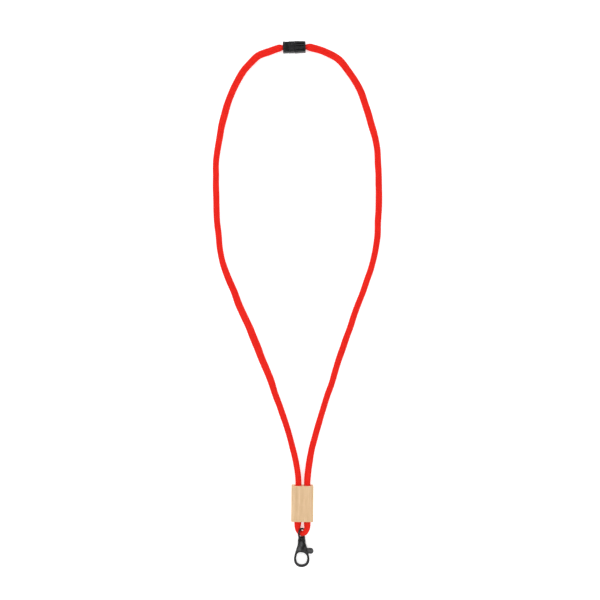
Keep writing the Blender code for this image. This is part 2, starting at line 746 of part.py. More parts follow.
def build_gate(pivot_frame):
    """The sprung gate, with its origin on the pin: arm, thumb tab, and a thin tongue in the slot."""
    to_pivot = Matrix.Translation((-PIVOT[0], -PIVOT[1], 0.0))
    outlines = [smooth_loop(HOOK_OUTLINE, 3), smooth_loop(RING_HOLE, 3)]
    arm_mesh = plate("gate", outlines, -HOOK_HALF_THICK, HOOK_HALF_THICK, HOOK_EDGE)
    arm_mesh.transform(to_pivot)
    gate = add_part("gate", arm_mesh, pivot_frame, BLACK_METAL)
    region_line = gate_gap_outline(GATE_RADIUS, GATE_TOP_Y, GAP)
    region = plate("gate_region", [region_line], -HOOK_REACH, HOOK_REACH)
    region.transform(to_pivot)
    combine(gate, add_cutter("gate_region", region, pivot_frame), "INTERSECT")
    tab_centre = (TAB_END_X - TAB_HALF_WIDTH, TAB_CENTRE_Y)
    tab_line = arc(tab_centre, TAB_HALF_WIDTH, -90, 90, 10)
    tab_line += [(PIVOT[0] + GATE_RADIUS + 0.0002, GATE_TOP_Y)]
    tab_line += [(PIVOT[0] + GATE_RADIUS - 0.0002, TAB_CENTRE_Y - TAB_HALF_WIDTH + 0.0006)]
    tab = plate("thumb_tab", [tab_line], -TAB_HALF_THICK, TAB_HALF_THICK, TAB_EDGE)
    tab.transform(to_pivot)
    join(gate, add_cutter("thumb_tab", tab, pivot_frame))
    tongue_line = arc(PIVOT, TONGUE_RADIUS, 75, 250, 10)
    tongue_line += arc(PIVOT, GATE_RADIUS + 0.0007, -72, 8, 8)
    tongue = plate("gate_tongue", [tongue_line], *TONGUE_Z)
    tongue.transform(to_pivot)
    join(gate, add_cutter("gate_tongue", tongue, pivot_frame))
    bore = cylinder("gate_bore", PIN_BORE_RADIUS, -HOOK_REACH, HOOK_REACH, "Z", sides=20)
    cut(gate, add_cutter("gate_bore", bore, pivot_frame))
    shade(gate)


def build_gate_pin(pivot_frame):
    """The rivet that the gate turns on, with a low head on each cheek."""
    shoulder = HOOK_HALF_THICK + PIN_HEAD_GAP
    end = shoulder + PIN_HEAD_HEIGHT
    half = [
        (0.0, end),
        (PIN_HEAD_RADIUS * 0.6, end - 0.00006),
        (PIN_HEAD_RADIUS, end - 0.00020),
        (PIN_HEAD_RADIUS, shoulder),
        (PIN_RADIUS, shoulder),
    ]
    profile = half + [(radius, -z) for radius, z in reversed(half)]
    pin = add_part("gate_pin", turned("gate_pin", profile, "Z", sides=20), pivot_frame, BLACK_METAL)
    shade(pin)


def build_gate_spring(pivot_frame):
    """A torsion spring round the pin, one leg on the slot's wall and one on the gate's arm."""
    count = round(SPRING_TURNS * SPRING_POINTS_PER_TURN)
    line = []
    for i in range(count + 1):
        angle = SPRING_START + math.tau * SPRING_TURNS * i / count
        z = SPRING_Z[0] + (SPRING_Z[1] - SPRING_Z[0]) * i / count
        line.append(Vector((SPRING_RADIUS * math.cos(angle), SPRING_RADIUS * math.sin(angle), z)))
    first_way = (line[0] - line[1]).normalized()
    last_way = (line[-1] - line[-2]).normalized()
    line.insert(0, line[0] + first_way * SPRING_LEG)
    line.append(line[-1] + last_way * SPRING_LEG)
    curve = tube("gate_spring", line, [1.0] * len(line), SPRING_WIRE, 2)
    add_part("gate_spring", curve, pivot_frame, SPRING_STEEL)


# ---------------------------------------------------------------- the lanyard
def build_lanyard():
    build_cord()
    clasp = make_frame("clasp_frame", CLASP_CENTRE, (0.0, 0.0, CLASP_TILT))
    build_socket_half(clasp)
    build_crimp("crimp_right", CRIMP_RIGHT_X, clasp)
    build_plug_half(clasp)
    build_plug_cap(clasp)
    build_crimp("crimp_left", CRIMP_LEFT_X, clasp)
    build_wood_block(make_frame("block_frame", BLOCK_CENTRE, (0.0, 0.0, BLOCK_TILT)))
    hook = make_frame("hook_frame", EYE_CENTRE, (HOOK_TILT, 0.0, 0.0))
    build_swivel_eye(hook)
    build_hook_body(hook)
    pivot = make_frame("gate_pivot", (*PIVOT, 0.0), parent=hook)
    build_gate(pivot)
    build_gate_pin(pivot)
    build_gate_spring(pivot)


clear_scene()
PARTS = make_collection("lanyard")
CUTTERS = make_collection("cutters")
CORD_RED = make_material("cord_red", (0.80, 0.02, 0.012), 0.75)
BLACK_PLASTIC = make_material("black_plastic", (0.018, 0.018, 0.020), 0.50)
PALE_WOOD = make_material("pale_wood", (0.74, 0.53, 0.32), 0.60)
BLACK_METAL = make_material("black_metal", (0.025, 0.025, 0.028), 0.38, 0.6)
CRIMP_STEEL = make_material("crimp_steel", (0.55, 0.55, 0.56), 0.35, 1.0)
SPRING_STEEL = make_material("spring_steel", (0.60, 0.60, 0.62), 0.30, 1.0)
build_lanyard()
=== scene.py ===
"""The looks of a round-cord neck lanyard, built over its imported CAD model.

All sizes are metres in the row frame: the lanyard lies on z = 0, +Y runs from the hook to the clasp.
"""

import math

import bpy
import numpy as np
from mathutils import Matrix, Vector


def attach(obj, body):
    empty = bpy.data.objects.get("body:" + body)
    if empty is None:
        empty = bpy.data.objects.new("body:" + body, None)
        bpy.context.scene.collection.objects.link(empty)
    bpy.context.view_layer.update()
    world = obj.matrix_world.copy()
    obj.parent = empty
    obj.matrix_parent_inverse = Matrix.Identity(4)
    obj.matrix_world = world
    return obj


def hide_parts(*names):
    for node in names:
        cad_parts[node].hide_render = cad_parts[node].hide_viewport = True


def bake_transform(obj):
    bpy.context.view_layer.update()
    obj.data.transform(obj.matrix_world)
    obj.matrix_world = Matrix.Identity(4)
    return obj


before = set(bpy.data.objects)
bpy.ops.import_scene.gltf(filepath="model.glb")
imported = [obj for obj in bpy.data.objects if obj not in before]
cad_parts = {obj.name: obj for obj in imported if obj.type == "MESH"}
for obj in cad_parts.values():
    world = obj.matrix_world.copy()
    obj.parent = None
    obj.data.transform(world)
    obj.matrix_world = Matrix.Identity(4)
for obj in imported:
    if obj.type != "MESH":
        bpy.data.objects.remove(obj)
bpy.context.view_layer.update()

# ---- camera, light and floor
CAMERA_PLACE = (0.00205, 0.00356, 1.100)
CAMERA_LENS_MM = 69.28
CAMERA_SENSOR_MM = 36.0
FLOOR_Z = -0.0001
FLOOR_SIZE = 6.0
FLOOR_GLOW = 0.50  # a light table: the floor also shines a little itself
FLOOR_FAR_GLOW = 0.80
FLOOR_FAR = (0.6, 1.5)  # between these distances the glow grows, so that the floor is pale all over
# The sky's brightness for each height on a unit sphere: pale at the horizon, and dark straight
# above, so that black parts stay black.
SKY = ((0.00, 1.00), (0.15, 1.00), (0.40, 0.44), (0.60, 0.44), (0.95, 0.08))
SOFT_BOX_SIZE = 0.8
SOFT_BOXES = (  # name, place, power in watts
    ("left_light", (-0.80, 0.10, 1.05), 6.4),
    ("right_light", (0.80, 0.00, 1.05), 4.7),
    ("top_light", (0.05, 0.85, 1.05), 5.6),
    ("bottom_light", (0.00, -0.85, 1.05), 4.2),
)

# ---- cord
# The middle of the cord from the socket half to the plug half: (x, y, z, radius).
CORD_ROUTE = (
    (0.0033, 0.2436, 0.0040, 0.00230), (0.0073, 0.2437, 0.0040, 0.00235),
    (0.0120, 0.2433, 0.0039, 0.00325), (0.0256, 0.2393, 0.0032, 0.00310),
    (0.0398, 0.2310, 0.0031, 0.00315), (0.0560, 0.2088, 0.0031, 0.00300),
    (0.0668, 0.1810, 0.0031, 0.00305), (0.0752, 0.1470, 0.0031, 0.00285),
    (0.0768, 0.1120, 0.0031, 0.00285), (0.0763, 0.0770, 0.0031, 0.00285),
    (0.0722, 0.0430, 0.0031, 0.00275), (0.0606, 0.0085, 0.0031, 0.00275),
    (0.0451, -0.0350, 0.0031, 0.00285), (0.0300, -0.0815, 0.0031, 0.00275),
    (0.0148, -0.1315, 0.0033, 0.00280), (0.0093, -0.1630, 0.0060, 0.00288),
    (0.0090, -0.1889, 0.0060, 0.00272), (0.0089, -0.2075, 0.0061, 0.00295),
    (0.0087, -0.2126, 0.0069, 0.00267), (0.0068, -0.2164, 0.0071, 0.00251),
    (0.0038, -0.2178, 0.0051, 0.00240), (0.0012, -0.2162, 0.0034, 0.00251),
    (-0.0001, -0.2124, 0.0042, 0.00267), (0.0000, -0.2075, 0.0059, 0.00295),
    (0.0001, -0.1889, 0.0060, 0.00272), (0.0002, -0.1630, 0.0060, 0.00273),
    (-0.0064, -0.1312, 0.0033, 0.00270), (-0.0228, -0.0815, 0.0031, 0.00290),
    (-0.0412, -0.0345, 0.0031, 0.00335), (-0.0596, 0.0085, 0.0031, 0.00305),
    (-0.0722, 0.0430, 0.0031, 0.00275), (-0.0769, 0.0850, 0.0031, 0.00280),
    (-0.0772, 0.1380, 0.0031, 0.00275), (-0.0700, 0.1780, 0.0031, 0.00305),
    (-0.0590, 0.2088, 0.0031, 0.00300), (-0.0400, 0.2338, 0.0031, 0.00315),
    (-0.0248, 0.2404, 0.0033, 0.00310), (-0.0178, 0.2427, 0.0038, 0.00310),
    (-0.0143, 0.2431, 0.0040, 0.00240), (-0.0079, 0.2433, 0.0040, 0.00230),
)
CORD_DIAMETER = 0.006
STRANDS = 16  # yarns in each direction of the braid
STEPS_PER_STRAND = 2  # mesh points across one yarn
BRAID_ANGLE = math.radians(38)  # between a yarn and the cord's own line
BRAID_RELIEF = 0.00017
BRAID_MEAN = 0.62  # the braid height that leaves the cord's radius as it is
OVER_TWO, STEP_OVER, UNDER_TWO = 0.95, 0.42, 0.18  # braid heights along a yarn's edge
SOFT_SWELL = 0.052  # the cord is this much thicker where nothing holds it
SOFT_FLAT = 0.045  # the cord is this much wider than high where it lies down
WANDER = (  # how the cord's line strays sideways as it lies: size, wavelength, phase
    (0.00020, 0.047, 0.6),
    (0.00011, 0.029, 2.1),
    (0.00005, 0.019, 4.0),
)
# More waves of the same kind: the braid's turn in radians, the cord's swelling, and its creases.
BRAID_TWIST = ((0.5, 0.31, 0.4), (0.25, 0.117, 2.0))
SWELLS = ((0.012, 0.083, 0.7), (0.012, 0.037, 1.9), (0.008, 0.0171, 4.1))
WRINKLES = ((0.5, 0.0231, 0.3), (0.5, 0.0137, 2.2))
CREASE_TURN = ((2.0, 0.19, 1.0),)
CREASE_DEPTH = 0.010
HELD_RADIUS = 0.0024  # at this radius the cord is squeezed hard
SOFT_SPAN = 0.0005  # and when it's this much thicker it is fully soft
HELD_RELIEF = 0.4  # share of the braid's relief that is left where the cord is squeezed
WANDER_FROM_Y = (-0.150, -0.120)  # clear of the block
WANDER_TO_Y = (0.225, 0.238)  # clear of the clasp
YARN_STRETCH = 0.12  # the fibre pattern is this much finer across a yarn than along it

# ---- breakaway clasp (clasp frame)
# x runs along the pull, towards the socket half, and the middle of the clasp is the origin.
CLASP_CENTRE = (-0.0034, 0.2434, 0.0040)
CLASP_TILT = math.radians(1.5)
CLASP_HALF_LENGTH = 0.01075
CLASP_HALF_THICK = 0.0040
CLASP_EDGE = 0.00045
SEAM_X = 0.0003
SEAM_GAP = 0.00008  # less than in the CAD, as is CAP_GAP: the floor shone through the seams
SEAM_EDGE = 0.00018
SOCKET_HALF_HEIGHT = 0.00525
SOCKET_END_HALF_HEIGHT = 0.00480
PLUG_HALF_HEIGHT = 0.00500
PLUG_LEFT_X = -0.00905
CAP_RIGHT_X = -0.00935
CAP_GAP = 0.00005
CAP_EDGE = 0.0003
CAVITY_END_X = 0.0052
CAVITY_HALF_HEIGHT = 0.0042
CAVITY_HALF_THICK = 0.0026
CAVITY_EDGE = 0.0003
CHAMBER_RADIUS = 0.00300
CHAMBER_END_X = 0.0094
PLUG_CHAMBER_X = -0.00725
LIP_RADIUS = 0.00255
LIP_FLARE = 0.0004
GROOVE_ROWS = (0.0026, 0.0005, -0.0030)
GROOVE_X = (0.0019, 0.0092)
GROOVE_RADIUS = 0.00042
GROOVE_RISE = 0.00005  # the grooves' middle lines are this far above the surface
WAIST_X = (-0.0086, -0.0053)
WAIST_DEPTH = 0.00020
WAIST_RIBS = 5
RIB_HEIGHT = 0.00010
DOME_X = -0.0025
DOME_Y = 0.00215
DOME_RADIUS = 0.0011
DOME_HEIGHT = 0.00035
# DOME_TOPS mark where a highlight is painted on the clasp's domes.
DOME_TOPS = ((-0.0059, 0.2455, 0.0083), (-0.0058, 0.2412, 0.0083))  # in the row frame
PRONG_END_X = 0.0047
PRONG_Y = (0.00310, 0.00390)
PRONG_HALF_THICK = 0.0021
PRONG_EDGE = 0.0002
PRONG_FILLET = 0.0003
BARB_ROOT = 0.0004
BARB_PROUD = 0.00015
BARB_HALF_THICK = 0.00126
BARB_X = (0.0032, 0.0041)
RIM_END_X = 0.0013  # a thin rim on the plug enters the socket and closes the seam
RIM_ROOT = 0.0005
RIM_HALF_HEIGHT = 0.0040
RIM_HALF_THICK = 0.0024
RIM_WALL = 0.0004
SPIGOT_RADIUS = 0.00325
SPIGOT_ROOT = 0.0005  # the spigot starts this far inside the cap
SPIGOT_LENGTH = 0.0009
COUNTERBORE_RADIUS = 0.00335
COUNTERBORE_DEPTH = 0.0009
MOULD_LINE = 0.00004  # height of the fine ridge where the halves of a mould met
MOULD_LINE_WIDTH, CAST_LINE_WIDTH = 0.00012, 0.00015
MOULD_EASE, CAST_EASE = 0.00012, 0.00015  # rounding where one shape cuts or joins another
THIN_EDGE = 0.0001  # rounding of the thinnest walls
BEYOND = 0.001  # a tool reaches this far past what it cuts
TURNED_EDGE = 0.0003  # chamfer of turned shapes
GRID = {  # spacing of the points that each solid's surface is made from
    "socket": 0.00010, "plug": 0.00010, "cap": 0.00009, "block": 0.00026,
    "eye": 0.00010, "body": 0.00012, "gate": 0.00011, "pin": 0.00005,
}

# ---- wood block (block frame)
BLOCK_CENTRE = (0.0042, -0.1889, 0.0060)
BLOCK_TILT = math.radians(-0.55)
BLOCK_SIZE = (0.0208, 0.0339, 0.0120)
BLOCK_EDGE = 0.0007
BORE_X = (-0.0041, 0.0048)
BORE_RADIUS = 0.00350
BORE_MOUTH = 0.0005
BORE_EDGE = 0.0002
GRAIN_RELIEF = 0.00002
GRAIN_LEAN = 0.42
GRAIN_WANDER = ((0.0004, 150, 1.0), (0.0002, 410, 2.0))  # size, waves, phase
GRAIN_WAVES = ((1.0, 4300, 0.0), (0.7, 7900, 1.3))

# ---- swivel hook (hook frame)
# The origin is the middle of the eye, y runs up the swivel axis and z is square to the hook's ring.
EYE_CENTRE = (0.00365, -0.2178, 0.0051)
HOOK_TILT = math.radians(5.0)
EYE_TURN = math.radians(45.0)
EYE_RX = 0.00395
EYE_RY = 0.00460
EYE_BAR_RADIUS = 0.00085
EYE_FOOT = 0.0011  # the eye's ring ends this far above the collar's underside
EYE_FILLET = 0.0012
COLLAR_RADIUS = 0.0033
COLLAR_Y = (-0.0030, -0.0057)
STEM_RADIUS = 0.0013
HEAD_RADIUS = 0.00195
HEAD_Y = (-0.0103, -0.0113)
BARREL_RADIUS = 0.0037
BARREL_TOP_Y = -0.0058
BARREL_CONE = ((0.0037, -0.0098), (0.0032, -0.0120), (0.0020, -0.0144), (0.0, -0.0150))
STEM_BORE_RADIUS = 0.00138
HEAD_CHAMBER_RADIUS = 0.00215
HEAD_CHAMBER_Y = (-0.0100, -0.0124)
HOOK_HALF_THICK = 0.0022
HOOK_EDGE = 0.0009
HOOK_FILLET = 0.0009
PIVOT = (0.0012, -0.0149)
PIN_RADIUS = 0.00075
PIN_BORE_RADIUS = 0.00081
BORE_EASE = 0.0001
PIN_HEAD_RADIUS = 0.00125
PIN_HEAD_HEIGHT = 0.00035
PIN_HEAD_GAP = 0.00005
PIN_HEAD_ROUND = ((0.0, 0.0), (0.35, 0.00002), (0.7, 0.00009), (0.93, 0.00018), (1.0, 0.00028))
PIN_ROOM = 0.0013
CHEEK_RADIUS = 0.0034
GATE_RADIUS = 0.0037
SLOT_HALF_THICK = 0.0013
SLOT_X = (-0.0015, 0.0090)
SLOT_Y = (-0.0200, -0.0121)
GATE_TOP_Y = -0.0142
GATE_EDGE = 0.0002
GAP = 0.0003
TIP_OUTER = (0.0076, -0.0255)
TIP_INNER = (0.0040, -0.0278)
RING_MIDDLE = (0.0014, -0.0225)
TONGUE_Z = (-0.00115, 0.00005)
TONGUE_RADIUS = 0.0023
TONGUE_ROOT = 0.0007
TAB_HALF_THICK = 0.0018
TAB_END_X = 0.01125
TAB_CENTRE_Y = -0.0168
TAB_HALF_WIDTH = 0.0026
TAB_EDGE = 0.0007
TAB_SPREAD = 0.0002  # how much wider the tab's root is at its top
DISH_DEPTH, DISH_REACH = 0.00025, 0.6  # the dish for the thumb, its reach in half widths
# Painted highlights, in the row frame: paler patches on the hook's left cheek and on its thumb tab.
CHEEK_PAINTED_HIGHLIGHTS = (
    (0.0031, -0.2270, 0.0078), (0.0026, -0.2284, 0.0074), (0.0021, -0.2299, 0.0070),
    (0.0016, -0.2314, 0.0065), (0.0012, -0.2328, 0.0060),
)
CHEEK_HIGHLIGHT_REACH = 0.0024
TAB_PAINTED_HIGHLIGHTS = ((0.0114, -0.2345, 0.0040), (0.0132, -0.2345, 0.0040))
TAB_HIGHLIGHT_REACH = 0.0042
HOOK_OUTLINE = (
    (-0.0020, -0.0080), (-0.0034, -0.0099), (-0.0042, -0.0121), (-0.0053, -0.0158),
    (-0.0065, -0.0200), (-0.0073, -0.0242), (-0.0067, -0.0281), (-0.0041, -0.0312),
    (0.0000, -0.0323), (0.0041, -0.0312), (0.0068, -0.0281), (0.0074, -0.0242),
    (0.0065, -0.0200), (0.0056, -0.0160), (0.0048, -0.0125), (0.0038, -0.0099),
    (0.0020, -0.0080),
)
RING_HOLE = (
    (-0.0027, -0.0181), (0.0008, -0.0181), (0.0036, -0.0196), (0.0050, -0.0222),
    (0.0051, -0.0254), (0.0037, -0.0289), (0.0000, -0.0303), (-0.0037, -0.0289),
    (-0.0051, -0.0254), (-0.0050, -0.0222), (-0.0042, -0.0196),
)

# ---- colours and black surfaces
# The first of these reds is painted shade for the low places between the yarns, the second is the
# crowns' own red, and the third is a brighter tone in random patches.
RED_PAINTED_SHADE, RED_CROWN, RED_PATCH = (0.30, 0.003, 0.002), (0.94, 0.018, 0.010), (0.98, 0.036, 0.016)
WOOD_PALE, WOOD_BAND, WOOD_STREAK = (0.735, 0.525, 0.315), (0.640, 0.430, 0.240), (0.545, 0.345, 0.180)
WOOD_FIBRE, WOOD_PORE, WOOD_CLOUD = (0.50, 0.315, 0.165), (0.30, 0.175, 0.085), (0.76, 0.555, 0.345)
WOOD_TURN = (0.0, math.radians(24), math.radians(0.8))
STEEL_DARK, STEEL_LIGHT = (0.46, 0.46, 0.47), (0.62, 0.62, 0.63)
MOULDED_PLASTIC = {
    "grain": 5200.0, "grain_detail": 2.0, "patch": 420.0,
    "dark": (0.0045, 0.0045, 0.0052), "light": (0.0095, 0.0095, 0.0105),
    # The colour after the edge colour is a painted highlight on the dome tops.
    # The edge colour is worn edges, and partly a painted highlight.
    "edge": (0.024, 0.024, 0.025), "painted_highlight": (0.030, 0.030, 0.031),
    # The hollow colour is painted shade for grooves and corners.
    "hollow": (0.0012, 0.0012, 0.0014),
    "edge_metal": 0.0,
    "edge_polish": 0.04,  # how much smoother a worn edge is
    "rough": (0.23, 0.31),
    "shine": (0.20, 0.04),  # specular level in the open, and lower in grooves and corners as painted shade
    "wall_shine_after_painted_shade": 0.2,  # share of it that upright side walls keep, the rest cut as painted shade
    "coat": 0.0,
    "relief": (0.000010, 0.4),  # height and strength of the grain
}
BLACK_COATING = {
    "grain": 1900.0, "grain_detail": 3.0, "patch": 360.0,
    "dark": (0.005, 0.005, 0.0057), "light": (0.011, 0.011, 0.0122),
    # The colour after the edge colour is a painted highlight on the hook's cheek and thumb tab.
    # The edge colour is worn edges, and partly a painted highlight.
    "edge": (0.080, 0.080, 0.084), "painted_highlight": (0.085, 0.085, 0.089),
    # The hollow colour is painted shade for grooves and corners.
    "hollow": (0.002, 0.002, 0.0022), "edge_metal": 0.5, "edge_polish": 0.0,
    # Upright side walls keep only part of the shine, as painted shade.
    "rough": (0.17, 0.27), "shine": (0.20, 0.06), "wall_shine_after_painted_shade": 0.3,
    "coat": 0.06, "relief": (0.000014, 0.5),
}


# ---- smooth lines
def hermite(start, end, start_slope, end_slope, t):
    return (
        start * (2 * t**3 - 3 * t**2 + 1)
        + start_slope * (t**3 - 2 * t**2 + t)
        + end * (3 * t**2 - 2 * t**3)
        + end_slope * (t**3 - t**2)
    )


def distance_along(rows):
    gaps = np.linalg.norm(np.diff(rows[:, :3], axis=0), axis=1)
    return np.concatenate([[0.0], np.cumsum(gaps)])


def smooth_route(route, per_span):
    """Dense (x, y, z, radius) rows on one smooth curve through the route's points."""
    route = np.array(route)
    along = distance_along(route)
    slopes = np.empty_like(route)
    slopes[1:-1] = (route[2:] - route[:-2]) / (along[2:] - along[:-2])[:, None]
    slopes[0] = (route[1] - route[0]) / along[1]
    slopes[-1] = (route[-1] - route[-2]) / (along[-1] - along[-2])
    rows = []
    for i in range(len(route) - 1):
        span = along[i + 1] - along[i]
        for step in range(per_span):
            t = step / per_span
            rows.append(hermite(route[i], route[i + 1], slopes[i] * span, slopes[i + 1] * span, t))
    rows.append(route[-1])
    rows = np.array(rows)
    rows[:, 3] = np.interp(np.linspace(0, len(route) - 1, len(rows)), range(len(route)), route[:, 3])
    return rows


def at_even_steps(rows, step):
    """The same line with its rows a fixed distance apart, and that distance along each row."""
    along = distance_along(rows)
    places = np.linspace(0.0, along[-1], int(along[-1] / step) + 1)
    return np.stack([np.interp(places, along, rows[:, k]) for k in range(4)], axis=1), places


def waver(along, waves):
    """A smooth wandering value: the sum of (size, wavelength, phase) waves."""
    return sum(size * np.sin(math.tau * along / length + phase) for size, length, phase in waves)


def smooth_step(values, low, high):
    t = np.clip((values - low) / (high - low), 0.0, 1.0)
    return t * t * (3 - 2 * t)


def braid_height(a, b):
    """Height from 0 to 1 of a two-over-two braid at the whole-number points a, b of its two yarn
    directions. A yarn's edge is where its number divides by STEPS_PER_STRAND."""
    n = STEPS_PER_STRAND

    def first_is_over(i, j):
        return (i + j) % 4 < 2

    i, j = a // n, b // n
    a_edge, b_edge = a % n == 0, b % n == 0
    here = first_is_over(i, j)
    before_a, before_b = first_is_over(i - 1, j), first_is_over(i, j - 1)
    height = np.ones(a.shape)
    on_b_edge = np.where(here ^ before_b, STEP_OVER, UNDER_TWO)
    on_b_edge = np.where(here & before_b, OVER_TWO, on_b_edge)
    on_a_edge = np.where(here ^ before_a, STEP_OVER, UNDER_TWO)
    on_a_edge = np.where(~here & ~before_a, OVER_TWO, on_a_edge)
    height = np.where(b_edge & ~a_edge, on_b_edge, height)
    height = np.where(a_edge & ~b_edge, on_a_edge, height)
    return np.where(a_edge & b_edge, 0.0, height), here


def braid_faces(rows, around):
    """Diamond faces between staggered rows of points, half diamonds at the ends, and two end caps."""

    def at(row, col):
        return row * around + col % around

    faces = []
    for row in range(rows - 2):
        odd = row % 2
        for col in range(around):
            left, right = at(row + 1, col + odd - 1), at(row + 1, col + odd)
            faces.append((at(row, col), right, at(row + 2, col), left))
    odd = rows % 2
    start_middle, end_middle = rows * around, rows * around + 1
    for col in range(around):
        left, right = at(rows - 1, col + odd - 1), at(rows - 1, col + odd)
        faces.append((at(0, col + 1), at(1, col), at(0, col)))
        faces.append((at(rows - 2, col), right, left))
        faces.append((at(0, col + 1), at(0, col), start_middle))
        faces.append((left, right, end_middle))
    return faces


def build_cord():
    """One braided tube: its mesh points stand on the crossings of the two yarn directions."""
    around = STRANDS * STEPS_PER_STRAND
    row_gap = math.pi * CORD_DIAMETER / around / math.tan(BRAID_ANGLE) / 2
    rows, along = at_even_steps(smooth_route(CORD_ROUTE, 60), row_gap)
    middle, radius = rows[:, :3], rows[:, 3]
    forward = np.gradient(middle, axis=0)
    forward /= np.linalg.norm(forward, axis=1)[:, None]
    up = np.array([0.0, 0.0, 1.0]) - forward * forward[:, 2:3]
    up /= np.linalg.norm(up, axis=1)[:, None]
    side = np.cross(forward, up)
    loose = smooth_step(middle[:, 1], *WANDER_FROM_Y) * (1 - smooth_step(middle[:, 1], *WANDER_TO_Y))
    middle = middle + side * (waver(along, WANDER) * loose)[:, None]

    k = np.arange(len(rows))[:, None]
    turn = np.arange(around)[None, :] + 0.5 * (k % 2)
    a = np.round(turn + k / 2).astype(int)
    b = np.round(turn - k / 2).astype(int)
    height, first_over = braid_height(a, b)

    twist = waver(along, BRAID_TWIST)[:, None]
    angle = math.tau * turn / around + twist
    free = np.clip((radius - HELD_RADIUS) / SOFT_SPAN, 0.0, 1.0)[:, None]
    swell = waver(along, SWELLS)[:, None]
    wrinkle = waver(along, WRINKLES)[:, None]
    crease_turn = waver(along, CREASE_TURN)[:, None]
    crease = CREASE_DEPTH * wrinkle * np.cos(2 * angle + crease_turn)
    reach = radius[:, None] * (1 + (SOFT_SWELL + swell + crease) * free)
    reach = reach + BRAID_RELIEF * (height - BRAID_MEAN) * (HELD_RELIEF + (1 - HELD_RELIEF) * free)
    across, over = reach * (1 + SOFT_FLAT * free), reach * (1 - SOFT_FLAT * free)
    verts = (
        middle[:, None, :]
        + side[:, None, :] * (across * np.cos(angle))[..., None]
        + up[:, None, :] * (over * np.sin(angle))[..., None]
    )
    points = np.concatenate([verts.reshape(-1, 3), middle[:1], middle[-1:]])
    mesh = bpy.data.meshes.new("cord_braid")
    mesh.from_pydata(points.tolist(), [], braid_faces(len(rows), around))
    mesh.shade_smooth()

    slope = math.tan(BRAID_ANGLE) / (CORD_DIAMETER / 2)
    for name, way in (("yarn_a", -1), ("yarn_b", 1)):
        lay = math.tau * turn / around + way * slope * along[:, None]
        coordinate = [CORD_DIAMETER / 2 * np.cos(lay), CORD_DIAMETER / 2 * np.sin(lay)]
        coordinate.append(YARN_STRETCH * along[:, None] * np.ones_like(lay))
        put_attribute(mesh, name, "FLOAT_VECTOR", np.stack(coordinate, axis=-1).reshape(-1, 3))
    put_attribute(mesh, "height", "FLOAT", height.reshape(-1, 1))
    put_attribute(mesh, "first_over", "FLOAT", first_over.astype(float).reshape(-1, 1))
    cord = add_piece("cord_braid", mesh, CORD_MATERIAL)
    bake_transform(cord)
    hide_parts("cord")


def put_attribute(mesh, name, kind, values):
    """A value for each mesh point. Points past the end of values, which are the end caps', get zero."""
    full = np.zeros((len(mesh.vertices), values.shape[1]), np.float32)
    full[: len(values)] = values
    key = "vector" if kind == "FLOAT_VECTOR" else "value"
    mesh.attributes.new(name, kind, "POINT").data.foreach_set(key, full.ravel())


def add_piece(name, mesh, material):
    piece = bpy.data.objects.new(name, mesh)
    mesh.materials.clear()
    mesh.materials.append(material)
    bpy.context.scene.collection.objects.link(piece)
    return piece


